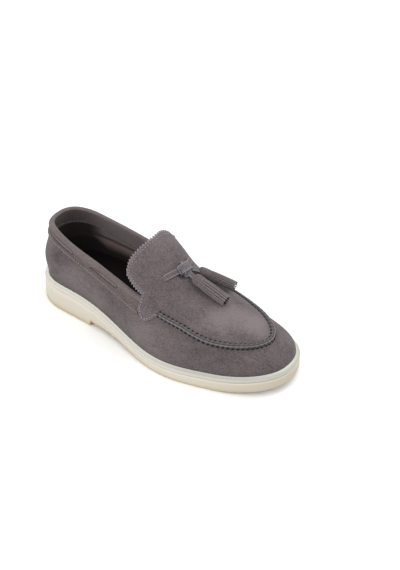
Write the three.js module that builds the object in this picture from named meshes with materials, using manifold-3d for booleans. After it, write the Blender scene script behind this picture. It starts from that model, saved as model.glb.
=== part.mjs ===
// Tassel loafer, right shoe, in millimetres. +X runs to the toe, +Y to the inner side of the foot, +Z up.
// The shoe is worked out from its last: half widths, ridge height and roundness at stations along the foot.
import * as THREE from 'three';
import { mergeVertices } from 'three/addons/utils/BufferGeometryUtils.js';
import Module from 'manifold-3d';

const wasm = await Module();
wasm.setup();

// Main sizes
const lastLength = 292;
const ballWidth = 105;
const instepHeight = 118;
const collarHeight = 88;
const heelSeat = 27.2;
const soleRim = 4;

// Leather, cloth and rubber
const wall = 1.8;
const clearance = 0.3;
const marginWidth = 9;
const apronThickness = 1.8;
const bandThickness = 1.2;
const insoleThickness = 3;
const whiteStrip = 4.2;
const sideGroove = 0.6;
const heelBreast = 5.4;
const toeSpring = 8.1;

// Trim
const ridgeWidth = 5.2;
const ridgeHeight = 2.9;
const slotTop = 5.9;
const slotHeight = 3.6;
const laceThickness = 1;
const strapWidth = 4.6;
const strapThickness = 1.2;
const knotSize = 11;
const tasselLength = 38;
const tasselRadius = 4.9;
const tasselStrips = 9;

// The last. at: share of its length from the heel. lateral, medial: half widths in ball widths.
// crown: height of the ridge in instep heights. round: 2 is an ellipse, more is squarer.
const lastRows = [
  { at: 0.00, lateral: 0.290, medial: 0.290, crown: 0.831, round: 2.60 },
  { at: 0.12, lateral: 0.329, medial: 0.338, crown: 0.907, round: 2.45 },
  { at: 0.28, lateral: 0.362, medial: 0.362, crown: 0.966, round: 2.15 },
  { at: 0.40, lateral: 0.420, medial: 0.375, crown: 1.000, round: 2.05 },
  { at: 0.47, lateral: 0.471, medial: 0.400, crown: 0.935, round: 2.05 },
  { at: 0.53, lateral: 0.515, medial: 0.427, crown: 0.765, round: 1.96 },
  { at: 0.59, lateral: 0.546, medial: 0.446, crown: 0.660, round: 1.92 },
  { at: 0.68, lateral: 0.548, medial: 0.457, crown: 0.580, round: 2.10 },
  { at: 0.80, lateral: 0.467, medial: 0.452, crown: 0.473, round: 2.06 },
  { at: 0.92, lateral: 0.390, medial: 0.438, crown: 0.386, round: 2.05 },
  { at: 1.00, lateral: 0.348, medial: 0.433, crown: 0.347, round: 2.20 },
];

// Top of the sole under the foot, in heel seats.
const seatRows = [
  { at: 0.00, seat: 1.000 },
  { at: 0.25, seat: 0.971 },
  { at: 0.42, seat: 0.643 },
  { at: 0.55, seat: 0.515 },
  { at: 0.70, seat: 0.559 },
  { at: 0.85, seat: 0.643 },
  { at: 1.00, seat: 0.864 },
];

// Hollow under the waist, in breast heights, and where the ball comes down to the floor.
const waistRows = [
  { at: 0.276, rise: 1.00 },
  { at: 0.36, rise: 1.06 },
  { at: 0.43, rise: 0.94 },
  { at: 0.52, rise: 0.38 },
  { at: 0.60, rise: 0.00 },
];
const breastAt = 0.27;
const ballDownAt = 0.60;
const ballUpAt = 0.76;

// Top line of the collar, in collar heights.
const toplineRows = [
  { at: 0.00, height: 1.000 },
  { at: 0.08, height: 0.975 },
  { at: 0.16, height: 0.918 },
  { at: 0.26, height: 0.866 },
  { at: 0.36, height: 0.813 },
  { at: 0.46, height: 0.779 },
  { at: 0.52, height: 0.748 },
];

// How far the wall swells out over the sole, in walls, and how high the swelling goes above the seat, in mm.
const swellRows = [
  { at: 0.00, swell: 1.60, reach: 46 },
  { at: 0.14, swell: 1.40, reach: 44 },
  { at: 0.30, swell: 0.65, reach: 36 },
  { at: 0.50, swell: 0.50, reach: 32 },
  { at: 0.70, swell: 0.70, reach: 30 },
  { at: 0.86, swell: 0.90, reach: 21 },
  { at: 1.00, swell: 1.00, reach: 18 },
];

// Edge of the tongue and apron, and foot of the wings, as shares of the last's half width.
const apronRows = [
  { at: 0.420, edge: 0.775 },
  { at: 0.445, edge: 0.792 },
  { at: 0.480, edge: 0.785 },
  { at: 0.505, edge: 0.765 },
  { at: 0.540, edge: 0.758 },
  { at: 0.580, edge: 0.751 },
  { at: 0.630, edge: 0.744 },
  { at: 0.680, edge: 0.747 },
];
const wingRows = [
  { at: 0.505, foot: 0.885 },
  { at: 0.520, foot: 0.902 },
  { at: 0.541, foot: 0.888 },
  { at: 0.562, foot: 0.842 },
  { at: 0.580, foot: 0.772 },
];
const tongueBackAt = 0.422;
const wingBackAt = 0.505;
const wingFrontAt = 0.580;
const apronRoundAt = 0.680;
const apronTipAt = 0.919;
const apronTipShift = 3;
const tongueBow = 12.8;
const tongueCorner = 3.4;
const tongueTurn = 6;
const liftEndAt = 0.625;

// Depth of the collar band outside and of its facing inside, in mm along the surface.
const bandRows = [
  { at: 0.00, outside: 12.8, inside: 19 },
  { at: 0.20, outside: 13.0, inside: 20 },
  { at: 0.36, outside: 15.0, inside: 20 },
  { at: 0.51, outside: 17.0, inside: 16 },
];

// Ribs of the wall round the foot, and where the collar band and its slots end on each side.
const ribCount = 80;
const bandEndRib = 20;
const heelSlotAt = 0.181;
const sideSlot = { from: 0.264, to: 0.397 };

// Middle lines of the tassel tie and the tassels on the apron: shares of the length, mm across.
const knotAt = { at: 0.5685, across: 0 };
const slitAt = { at: 0.5435, lateral: 22, medial: 18 };
const lateralTassel = { at: 0.624, across: -1.5, turn: 1.5, tip: 5.6, end: 5.6 };
const medialTassel = { at: 0.607, across: 12, turn: 32, tip: 5.4, end: 8.0 };

function clamp(value, low, high) {
  return Math.min(Math.max(value, low), high);
}

function mix(from, to, share) {
  return from + (to - from) * share;
}

function ease(value, from, to) {
  const share = clamp((value - from) / (to - from), 0, 1);
  return share * share * (3 - 2 * share);
}

// Natural cubic through one column of a table, as a function of the distance from the heel.
function spline(rows, column) {
  const xs = rows.map((row) => row.at * lastLength);
  const ys = rows.map((row) => row[column]);
  const last = xs.length - 1;
  const bend = new Array(last + 1).fill(0);
  const carry = new Array(last + 1).fill(0);
  for (let i = 1; i < last; i += 1) {
    const before = xs[i] - xs[i - 1];
    const after = xs[i + 1] - xs[i];
    const turn = (ys[i + 1] - ys[i]) / after - (ys[i] - ys[i - 1]) / before;
    const pivot = 2 * (before + after) - before * carry[i - 1];
    carry[i] = after / pivot;
    bend[i] = (6 * turn - before * bend[i - 1]) / pivot;
  }
  for (let i = last - 1; i > 0; i -= 1) {
    bend[i] -= carry[i] * bend[i + 1];
  }
  return (place) => {
    const x = clamp(place, xs[0], xs[last]);
    let i = 1;
    while (i < last && x > xs[i]) {
      i += 1;
    }
    const span = xs[i] - xs[i - 1];
    const a = (xs[i] - x) / span;
    const b = 1 - a;
    const curve = (a ** 3 - a) * bend[i - 1] + (b ** 3 - b) * bend[i];
    return a * ys[i - 1] + b * ys[i] + curve * span * span / 6;
  };
}

const lateralShare = spline(lastRows, 'lateral');
const medialShare = spline(lastRows, 'medial');
const crownShare = spline(lastRows, 'crown');
const roundness = spline(lastRows, 'round');
const seatShare = spline(seatRows, 'seat');
const waistRise = spline(waistRows, 'rise');
const toplineShare = spline(toplineRows, 'height');
const swellShare = spline(swellRows, 'swell');
const swellReach = spline(swellRows, 'reach');
const apronShare = spline(apronRows, 'edge');
const wingShare = spline(wingRows, 'foot');
const bandOutside = spline(bandRows, 'outside');
const bandInside = spline(bandRows, 'inside');

// 0 at the very end of the shoe, 1 from `reach` inwards.
function roundedEnd(distance, reach, power) {
  const share = clamp(1 - distance / reach, 0, 1);
  return (1 - share ** power) ** (1 / power);
}

function halfWidth(side, x) {
  const share = side < 0 ? lateralShare(x) : medialShare(x);
  const heelEnd = roundedEnd(x, 0.13 * lastLength, 2.4);
  const toeEnd = roundedEnd(lastLength - x, 0.20 * lastLength, 2.3);
  return share * ballWidth * heelEnd * toeEnd;
}

function seatHeight(x) {
  return seatShare(x) * heelSeat;
}

function treadHeight(x) {
  if (x < breastAt * lastLength) {
    return 0;
  }
  if (x < ballDownAt * lastLength) {
    return waistRise(x) * heelBreast;
  }
  const lifted = clamp((x / lastLength - ballUpAt) / (1 - ballUpAt), 0, 1);
  return toeSpring * lifted ** 1.8;
}

// Outside of the upper above the seat, as a height over the plan.
function skinHeight(x, y) {
  const reach = Math.max(halfWidth(Math.sign(y) || 1, x), 1e-6);
  const power = roundness(x);
  const rise = crownShare(x) * instepHeight - seatHeight(x);
  const heelEnd = roundedEnd(x, 0.06 * lastLength, 2.5);
  const toeEnd = roundedEnd(lastLength - x, 0.22 * lastLength, 2.12);
  const across = clamp(Math.abs(y) / reach, 0, 1);
  return seatHeight(x) + rise * heelEnd * toeEnd * (1 - across ** power) ** (1 / power);
}

function skinNormal(x, y) {
  const step = 0.04;
  const slopeX = (skinHeight(x + step, y) - skinHeight(x - step, y)) / (2 * step);
  const slopeY = (skinHeight(x, y + step) - skinHeight(x, y - step)) / (2 * step);
  return new THREE.Vector3(-slopeX, -slopeY, 1).normalize();
}

function onSkin(x, y, lift) {
  const point = new THREE.Vector3(x, y, skinHeight(x, y));
  return point.addScaledVector(skinNormal(x, y), lift);
}

// Feather line round the foot. turn: 0 at the back of the heel, outer side first, 0.5 at the toe.
function footprint(turn) {
  const wrapped = turn - Math.floor(turn);
  const side = wrapped < 0.5 ? -1 : 1;
  const along = 1 - Math.abs(1 - 2 * wrapped);
  const x = lastLength * (1 - Math.cos(Math.PI * along)) / 2;
  return new THREE.Vector3(x, side * halfWidth(side, x), 0);
}

function turnAt(side, x) {
  const turn = Math.acos(clamp(1 - 2 * x / lastLength, -1, 1)) / (2 * Math.PI);
  return side < 0 ? turn : -turn;
}

function footprintOut(turn) {
  const step = 0.002;
  const run = footprint(turn + step).sub(footprint(turn - step));
  return new THREE.Vector3(run.y, -run.x, 0).normalize();
}

// Point that the rib from the feather line at x climbs towards.
function spineX(x) {
  const low = 0.13 * lastLength;
  const high = 0.80 * lastLength;
  const blend = 18;
  const raised = (x + low + Math.hypot(x - low, blend)) / 2;
  return (raised + high - Math.hypot(raised - high, blend)) / 2;
}

function ribPoint(turn, climb) {
  const foot = footprint(turn);
  const spine = spineX(foot.x);
  const share = Math.cos(climb) ** (2 / roundness(spine));
  const x = mix(spine, foot.x, share);
  const y = foot.y * share;
  const point = new THREE.Vector3(x, y, skinHeight(x, y));
  const rise = clamp((point.z - seatHeight(x)) / swellReach(foot.x), 0, 1);
  const swell = swellShare(foot.x) * wall * Math.sin(Math.PI * rise) ** 2;
  return point.addScaledVector(footprintOut(turn), swell);
}

function apronMiddle(x) {
  return apronTipShift * ease(x, apronRoundAt * lastLength, apronTipAt * lastLength);
}

// Line of the moccasin seam and, behind it, of the tongue's edge.
function apronEdge(side, x) {
  const base = Math.min(x, apronRoundAt * lastLength);
  const span = (apronTipAt - apronRoundAt) * lastLength;
  const tip = roundedEnd(apronTipAt * lastLength - x, span, 2);
  return apronMiddle(x) + side * apronShare(base) * halfWidth(side, base) * tip;
}

function bisect(inside, low, high) {
  let from = low;
  let to = high;
  for (let i = 0; i < 30; i += 1) {
    const middle = (from + to) / 2;
    if (inside(middle)) {
      to = middle;
    } else {
      from = middle;
    }
  }
  return (from + to) / 2;
}

function toplineClimb(turn) {
  return bisect((climb) => {
    const point = ribPoint(turn, climb);
    return point.z > toplineShare(point.x) * collarHeight;
  }, 0, Math.PI / 2);
}

function seamClimb(turn) {
  return bisect((climb) => {
    const point = ribPoint(turn, climb);
    const side = turn < 0.5 ? -1 : 1;
    const edge = apronEdge(side, point.x) + side * clearance;
    return point.x < apronTipAt * lastLength + clearance && side * (point.y - edge) < 0;
  }, 0, Math.PI / 2);
}

function edgeClimb(turn) {
  const x = footprint(turn).x;
  const front = ease(x, (wingBackAt + 0.005) * lastLength, (wingFrontAt + 0.01) * lastLength);
  if (front === 0) {
    return toplineClimb(turn);
  }
  if (front === 1) {
    return seamClimb(turn);
  }
  return mix(toplineClimb(turn), seamClimb(turn), front);
}

// One rib as a fine line from its foot up to the top edge, with the way walked at each point.
function ribLine(turn, climb) {
  const steps = 48;
  const points = [];
  const walked = [0];
  for (let i = 0; i <= steps; i += 1) {
    points.push(ribPoint(turn, climb * i / steps));
    if (i > 0) {
      walked.push(walked[i - 1] + points[i].distanceTo(points[i - 1]));
    }
  }
  return { points, walked, length: walked[steps] };
}

function pointAlong(line, distance) {
  const last = line.points.length - 1;
  let i = 1;
  while (i < last && line.walked[i] < distance) {
    i += 1;
  }
  const span = line.walked[i] - line.walked[i - 1];
  const share = span > 0 ? (distance - line.walked[i - 1]) / span : 0;
  return line.points[i - 1].clone().lerp(line.points[i], clamp(share, 0, 1));
}

// Closed mesh from triangles given as point triples, turned to face out.
function solid(triangles) {
  const apart = (a, b) => a.distanceTo(b) > 1e-3;
  const kept = triangles.filter(([a, b, c]) => apart(a, b) && apart(b, c) && apart(c, a));
  let volume = 0;
  for (const [a, b, c] of kept) {
    volume += a.dot(new THREE.Vector3().crossVectors(b, c));
  }
  const values = [];
  for (const [a, b, c] of kept) {
    const ordered = volume < 0 ? [a, c, b] : [a, b, c];
    for (const point of ordered) {
      values.push(point.x, point.y, point.z);
    }
  }
  const geometry = new THREE.BufferGeometry();
  geometry.setAttribute('position', new THREE.Float32BufferAttribute(values, 3));
  return mergeVertices(geometry, 1e-3);
}

function addQuad(triangles, a, b, c, d) {
  if (a.distanceTo(c) < b.distanceTo(d)) {
    triangles.push([a, b, c], [a, c, d]);
  } else {
    triangles.push([a, b, d], [b, c, d]);
  }
}

// Sheet with a front and a back grid. Cells for which `present` is false are holes with walls round them.
function sheet(front, back, present = () => true) {
  const rows = front.length - 1;
  const columns = front[0].length - 1;
  const has = (i, j) => i >= 0 && j >= 0 && i < rows && j < columns && present(i, j);
  const triangles = [];
  const wallAt = (i, j, k, l) => addQuad(triangles, front[i][j], back[i][j], back[k][l], front[k][l]);
  for (let i = 0; i < rows; i += 1) {
    for (let j = 0; j < columns; j += 1) {
      if (has(i, j)) {
        addQuad(triangles, front[i][j], front[i + 1][j], front[i + 1][j + 1], front[i][j + 1]);
        addQuad(triangles, back[i][j], back[i][j + 1], back[i + 1][j + 1], back[i + 1][j]);
        if (!has(i - 1, j)) {
          wallAt(i, j + 1, i, j);
        }
        if (!has(i + 1, j)) {
          wallAt(i + 1, j, i + 1, j + 1);
        }
        if (!has(i, j - 1)) {
          wallAt(i, j, i + 1, j);
        }
        if (!has(i, j + 1)) {
          wallAt(i + 1, j + 1, i, j + 1);
        }
      }
    }
  }
  return solid(triangles);
}

// Solid through closed sections. A ring comes back to its first section, others get flat ends.
function loft(sections, ring = false) {
  const triangles = [];
  const count = sections[0].length;
  const spans = ring ? sections.length : sections.length - 1;
  for (let i = 0; i < spans; i += 1) {
    const here = sections[i];
    const next = sections[(i + 1) % sections.length];
    for (let j = 0; j < count; j += 1) {
      const k = (j + 1) % count;
      addQuad(triangles, here[j], next[j], next[k], here[k]);
    }
  }
  if (!ring) {
    addCap(triangles, sections[0], false);
    addCap(triangles, sections[sections.length - 1], true);
  }
  return solid(triangles);
}

function addCap(triangles, section, atEnd) {
  const middle = new THREE.Vector3();
  for (const point of section) {
    middle.addScaledVector(point, 1 / section.length);
  }
  section.forEach((point, j) => {
    const next = section[(j + 1) % section.length];
    triangles.push(atEnd ? [middle, next, point] : [middle, point, next]);
  });
}

// Stations from heel to toe, closer together where the outline turns, with the heel breast among them.
const breastFoot = breastAt * lastLength - 0.01;
const breastRoof = breastAt * lastLength + 1.2;

function soleStations(steps) {
  const stations = [];
  for (let i = 0; i <= steps; i += 1) {
    stations.push(lastLength * (1 - Math.cos(Math.PI * i / steps)) / 2);
  }
  const clear = stations.filter((x) => Math.abs(x - breastRoof) > 3 && Math.abs(x - breastFoot) > 3);
  return [...clear, breastFoot, breastRoof].sort((a, b) => a - b);
}

// Outline of the sole or insole at an outset from the feather line, outer side first. The height is asked for
// at the point's own distance from the heel and at that of its station.
function outline(stations, outset, height) {
  const turns = stations.map((x) => turnAt(-1, x));
  const back = turns.slice(1, -1).map((turn) => 1 - turn).reverse();
  return [...turns, ...back].map((turn, i) => {
    const station = i < stations.length ? stations[i] : stations[2 * stations.length - 2 - i];
    const point = footprint(turn).addScaledVector(footprintOut(turn), outset);
    point.z = height(point.x, station);
    return point;
  });
}

// Solid between outlines, closed across the foot at the first and the last one.
function plate(outlines) {
  const triangles = [];
  const count = outlines[0].length;
  for (let i = 0; i + 1 < outlines.length; i += 1) {
    for (let j = 0; j < count; j += 1) {
      const k = (j + 1) % count;
      addQuad(triangles, outlines[i][j], outlines[i][k], outlines[i + 1][k], outlines[i + 1][j]);
    }
  }
  const half = count / 2;
  const closeAcross = (line, flip) => {
    for (let j = 0; j < half; j += 1) {
      const corners = [line[j], line[(count - j) % count], line[count - j - 1], line[j + 1]];
      const ordered = flip ? corners.reverse() : corners;
      if (j === 0) {
        triangles.push(flip ? [line[0], line[1], line[count - 1]] : [line[0], line[count - 1], line[1]]);
      } else if (j === half - 1) {
        triangles.push(flip ? [line[j], line[half], line[count - j]] : [line[j], line[count - j], line[half]]);
      } else {
        addQuad(triangles, ...ordered);
      }
    }
  };
  closeAcross(outlines[0], false);
  closeAcross(outlines[outlines.length - 1], true);
  return solid(triangles);
}

function splitHeight(x) {
  return seatHeight(x) - clearance - whiteStrip;
}

function outsoleShape() {
  const stations = soleStations(40);
  const ring = (outset, height) => outline(stations, outset, height);
  return plate([
    ring(soleRim - 1.2, (x, station) => treadHeight(station)),
    ring(soleRim, (x, station) => treadHeight(station) + 1.2),
    ring(soleRim, (x) => splitHeight(x) - 1.1),
    ring(soleRim - sideGroove, (x) => splitHeight(x) - 0.8),
    ring(soleRim - sideGroove, (x) => splitHeight(x) - clearance),
  ]);
}

function midsoleShape() {
  const stations = soleStations(40);
  const ring = (outset, height) => outline(stations, outset, height);
  return plate([
    ring(soleRim - sideGroove, splitHeight),
    ring(soleRim, (x) => splitHeight(x) + 0.5),
    ring(soleRim, (x) => seatHeight(x) - clearance - 1.2),
    ring(soleRim - 1, (x) => seatHeight(x) - clearance),
  ]);
}

// Cushioned insole: its rim lies on the turned-in margin of the upper, its middle reaches the sole.
function insoleShape() {
  const stations = soleStations(40);
  const ring = (outset, height) => outline(stations, outset, height);
  const rim = -(wall + 2 * clearance);
  const onMargin = (x) => seatHeight(x) + wall + clearance;
  return plate([
    ring(-(wall + marginWidth + 2 * clearance), seatHeight),
    ring(-(wall + marginWidth + 2 * clearance), onMargin),
    ring(rim, onMargin),
    ring(rim - 0.6, (x) => onMargin(x) + 0.6 * insoleThickness),
    ring(rim - 2, (x) => onMargin(x) + insoleThickness),
  ]);
}

// The upper: one wall from the margin under the foot up to the top line and the moccasin seam.
function upperShape() {
  const levels = 8;
  const outer = [];
  for (let k = 0; k < ribCount; k += 1) {
    const turn = k / ribCount;
    const line = ribLine(turn, edgeClimb(turn));
    const rows = [pointAlong(line, 0)];
    for (let i = 0; i < levels; i += 1) {
      rows.push(pointAlong(line, mix(wall, line.length, i / (levels - 1))));
    }
    outer.push(rows);
  }
  const sections = outer.map((rows, k) => {
    const before = outer[(k + ribCount - 1) % ribCount];
    const after = outer[(k + 1) % ribCount];
    const inward = footprintOut(k / ribCount).negate();
    const inner = rows.slice(1).map((point, i) => {
      const up = rows[Math.min(i + 2, levels)].clone().sub(rows[i]);
      const along = after[i + 1].clone().sub(before[i + 1]);
      return point.clone().addScaledVector(along.cross(up).normalize(), -wall);
    });
    const seat = rows[0].clone().addScaledVector(inward, 0.5);
    const marginLow = rows[0].clone().addScaledVector(inward, wall + marginWidth);
    marginLow.z = seatHeight(marginLow.x);
    const marginHigh = marginLow.clone();
    marginHigh.z += wall;
    seat.z = seatHeight(seat.x);
    inner[0].z = seatHeight(inner[0].x) + wall;
    return [seat, ...rows.slice(1), ...inner.reverse(), marginHigh, marginLow];
  });
  return loft(sections, true);
}

// Height of the apron over the skin: flush inside the seam, over the upper at the wings and tongue.
function apronLift(x) {
  const high = apronThickness + 2 * clearance;
  return high * (1 - ease(x, wingFrontAt * lastLength, liftEndAt * lastLength));
}

// Rows of the apron from the back of the tongue to the tip.
function apronStations() {
  const tongue = [0, 0.24, 0.49, 0.74].map((share) => mix(tongueBackAt, wingBackAt, share));
  const wing = [0, 0.2, 0.47, 0.75, 1].map((share) => mix(wingBackAt, wingFrontAt, share));
  const side = [0.24, 0.48, 0.74].map((share) => mix(wingFrontAt, apronRoundAt, share));
  const tip = [0, 1, 2, 3, 4, 5, 6, 7, 8].map((step) => {
    return mix(apronRoundAt, apronTipAt, Math.sin(Math.PI * step / 16));
  });
  return [...tongue, ...wing, ...side, ...tip].map((at) => at * lastLength);
}

function apronPlace(x, y, low, high) {
  const fade = clamp((wingBackAt * lastLength - x) / ((wingBackAt - tongueBackAt) * lastLength), 0, 1);
  if (fade === 0) {
    return [x, y];
  }
  const across = clamp(2 * (y - low) / (high - low) - 1, -1, 1);
  const share = Math.abs(across);
  const bow = tongueBow * (1 - share ** 2.1) + tongueCorner * ease(share, 0.8, 1) ** 2;
  return [x + (bow + tongueTurn * ease(across, 0.1, 0.8)) * fade, y];
}

function apronShape() {
  const columns = 14;
  const wingColumns = 3;
  const stations = apronStations();
  const front = [];
  const back = [];
  stations.forEach((x) => {
    const inset = x < wingFrontAt * lastLength - 1 ? 0 : clearance;
    const low = Math.min(apronEdge(-1, x) + inset, apronMiddle(x));
    const high = Math.max(apronEdge(1, x) - inset, apronMiddle(x));
    const fine = [];
    for (let i = 0; i <= 60; i += 1) {
      const [px, py] = apronPlace(x, mix(low, high, (1 - Math.cos(Math.PI * i / 60)) / 2), low, high);
      fine.push(new THREE.Vector3(px, py, skinHeight(px, py)));
    }
    const walked = [0];
    for (let i = 1; i <= 60; i += 1) {
      walked.push(walked[i - 1] + fine[i].distanceTo(fine[i - 1]));
    }
    const line = { points: fine, walked };
    const middle = [];
    for (let j = 0; j <= columns; j += 1) {
      middle.push(pointAlong(line, walked[60] * j / columns));
    }
    const wing = (side, edge) => {
      const foot = side * wingShare(x) * halfWidth(side, x);
      return [1, 2, 3].map((step) => new THREE.Vector3(x, mix(edge, foot, step / wingColumns), 0));
    };
    const row = [...wing(-1, low).reverse(), ...middle, ...wing(1, high)];
    front.push(row.map((point) => onSkin(point.x, point.y, apronLift(x))));
    back.push(row.map((point) => onSkin(point.x, point.y, apronLift(x) - apronThickness)));
  });
  const onWing = (i) => stations[i] > wingBackAt * lastLength - 1 && stations[i + 1] < wingFrontAt * lastLength + 1;
  const present = (i, j) => onWing(i) || (j >= wingColumns && j < wingColumns + columns);
  return sheet(front, back, present);
}

// Raised seam between the apron and the side of the upper: two folded edges side by side.
function seamShape() {
  const stations = [];
  for (let i = 0; i <= 9; i += 1) {
    stations.push(mix(wingFrontAt + 0.006, apronRoundAt, i / 9) * lastLength);
  }
  for (let i = 1; i <= 11; i += 1) {
    stations.push(mix(apronRoundAt, apronTipAt, Math.sin(Math.PI * i / 22)) * lastLength);
  }
  const path = stations.map((x) => new THREE.Vector3(x, apronEdge(-1, x), 0));
  const back = stations.slice(0, -1).map((x) => new THREE.Vector3(x, apronEdge(1, x), 0)).reverse();
  const line = [...path, ...back];
  const sections = line.map((point, i) => {
    const run = line[Math.min(i + 1, line.length - 1)].clone().sub(line[Math.max(i - 1, 0)]).normalize();
    const out = new THREE.Vector3(run.y, -run.x, 0);
    const normal = skinNormal(point.x, point.y);
    const across = out.addScaledVector(normal, -out.dot(normal)).normalize();
    const base = onSkin(point.x, point.y, 0);
    const lift = apronLift(point.x);
    const half = ridgeWidth / 2;
    const profile = [
      [-half, clearance + lift], [-half, 1.6 + lift], [-0.5 * half, ridgeHeight + 0.7 * lift],
      [0, ridgeHeight - 0.6 + 0.5 * lift], [0.5 * half, ridgeHeight + 0.3 * lift], [half, 1.6],
      [half, clearance], [0, clearance], [0, clearance + lift],
    ];
    return profile.map(([side, up]) => base.clone().addScaledVector(across, side).addScaledVector(normal, up));
  });
  return loft(sections);
}

// Fold of the collar at one rib: front points facing out of the shoe's edge, back points facing the wall.
function bandSection(turn) {
  const line = ribLine(turn, toplineClimb(turn));
  const x = footprint(turn).x;
  const outDepths = [bandOutside(x), slotTop + slotHeight, slotTop, 0.4 * slotTop, 0];
  const inDepths = [0, 0.35 * bandInside(x), 0.7 * bandInside(x), bandInside(x)];
  const frame = (depth) => {
    const point = pointAlong(line, line.length - depth);
    const up = pointAlong(line, Math.min(line.length, line.length - depth + 1));
    up.sub(pointAlong(line, line.length - depth - 1)).normalize();
    const step = 0.001;
    const ahead = ribLine(turn + step, toplineClimb(turn + step));
    const behind = ribLine(turn - step, toplineClimb(turn - step));
    const along = pointAlong(ahead, ahead.length - depth).sub(pointAlong(behind, behind.length - depth));
    return { point, up, out: along.cross(up).normalize() };
  };
  const place = ({ point, up, out }, outward, upward) => {
    return point.clone().addScaledVector(out, outward).addScaledVector(up, upward);
  };
  const near = clearance;
  const far = clearance + bandThickness;
  const top = frame(0);
  const front = [
    ...outDepths.map((depth) => place(frame(depth), far, 0)),
    place(top, 0.5 * far, far),
    place(top, -wall - 0.5 * far, far),
    ...inDepths.map((depth) => place(frame(depth), -wall - far, 0)),
  ];
  const back = [
    ...outDepths.map((depth) => place(frame(depth), near, 0)),
    place(top, near, near),
    place(top, -wall - near, near),
    ...inDepths.map((depth) => place(frame(depth), -wall - near, 0)),
  ];
  return { front, back };
}

// Turns of the ribs strictly between two turns.
function ribsBetween(from, to) {
  const apart = 0.15 / ribCount;
  const turns = [];
  for (let rib = -bandEndRib; rib <= bandEndRib; rib += 1) {
    turns.push(rib / ribCount);
  }
  return turns.filter((turn) => turn > from + apart && turn < to - apart);
}

function bandShape() {
  const slotEnds = [heelSlotAt, sideSlot.from, sideSlot.to].map((at) => turnAt(-1, at * lastLength));
  const bandEnd = bandEndRib / ribCount;
  const half = [0, ...slotEnds, bandEnd];
  const whole = [...half.slice(1).reverse().map((turn) => -turn), ...half.slice(1)];
  const turns = [-bandEnd];
  for (let i = 1; i < whole.length; i += 1) {
    turns.push(...ribsBetween(whole[i - 1], whole[i]), whole[i]);
  }
  const sections = turns.map(bandSection);
  const inSlot = (i) => {
    const middle = Math.abs(turns[i] + turns[i + 1]) / 2;
    return middle < slotEnds[0] || (middle > slotEnds[1] && middle < slotEnds[2]);
  };
  const present = (i, j) => j !== 1 || !inSlot(i);
  return sheet(sections.map((section) => section.front), sections.map((section) => section.back), present);
}

// Leather lace seen in one slot of the collar band.
function laceShape(turns) {
  const depth = slotTop + slotHeight / 2;
  const half = slotHeight / 2 - clearance;
  const sections = turns.map((turn) => {
    const line = ribLine(turn, toplineClimb(turn));
    const low = pointAlong(line, line.length - depth - half);
    const high = pointAlong(line, line.length - depth + half);
    const up = high.clone().sub(low).normalize();
    const step = 0.001;
    const ahead = ribLine(turn + step, toplineClimb(turn + step));
    const behind = ribLine(turn - step, toplineClimb(turn - step));
    const along = pointAlong(ahead, ahead.length - depth).sub(pointAlong(behind, behind.length - depth));
    const out = along.cross(up).normalize();
    const from = clearance;
    const to = clearance + laceThickness;
    return [
      low.clone().addScaledVector(out, from),
      low.clone().addScaledVector(out, to),
      high.clone().addScaledVector(out, to),
      high.clone().addScaledVector(out, from),
    ];
  });
  return loft(sections);
}

// Lace from one side and place to another, short of both by a little.
function laceBetween(fromSide, fromAt, toSide, toAt) {
  const inset = 0.1 / ribCount;
  const turnOf = (side, at) => -side * turnAt(-1, at * lastLength);
  const from = turnOf(fromSide, fromAt) + inset;
  const to = turnOf(toSide, toAt) - inset;
  return laceShape([from, ...ribsBetween(from, to), to]);
}

// Strap of even width along a path of [x, y, height above the skin].
function strapSections(path, width, thickness) {
  const points = path.map(([x, y, lift]) => onSkin(x, y, lift));
  return points.map((point, i) => {
    const run = points[Math.min(i + 1, points.length - 1)].clone().sub(points[Math.max(i - 1, 0)]).normalize();
    const [x, y] = path[i];
    const normal = skinNormal(x, y);
    const across = new THREE.Vector3().crossVectors(normal, run).normalize();
    const up = new THREE.Vector3().crossVectors(run, across).normalize();
    return [[-0.5, 0], [0.5, 0], [0.5, 1], [-0.5, 1]].map(([side, rise]) => {
      return point.clone().addScaledVector(across, side * width).addScaledVector(up, rise * thickness);
    });
  });
}

function toManifold(geometry) {
  const merged = geometry.clone();
  const mesh = new wasm.Mesh({
    numProp: 3,
    vertProperties: new Float32Array(merged.attributes.position.array),
    triVerts: new Uint32Array(merged.index.array),
  });
  return new wasm.Manifold(mesh);
}

function joined(geometries) {
  let body = toManifold(geometries[0]);
  for (const geometry of geometries.slice(1)) {
    body = body.add(toManifold(geometry));
  }
  const mesh = body.getMesh();
  const geometry = new THREE.BufferGeometry();
  geometry.setAttribute('position', new THREE.BufferAttribute(new Float32Array(mesh.vertProperties), 3));
  geometry.setIndex(new THREE.BufferAttribute(new Uint32Array(mesh.triVerts), 1));
  return geometry;
}

// Where the tie lies: just over the apron.
function tieLift(x) {
  return apronLift(x) + 2 * clearance;
}

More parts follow.
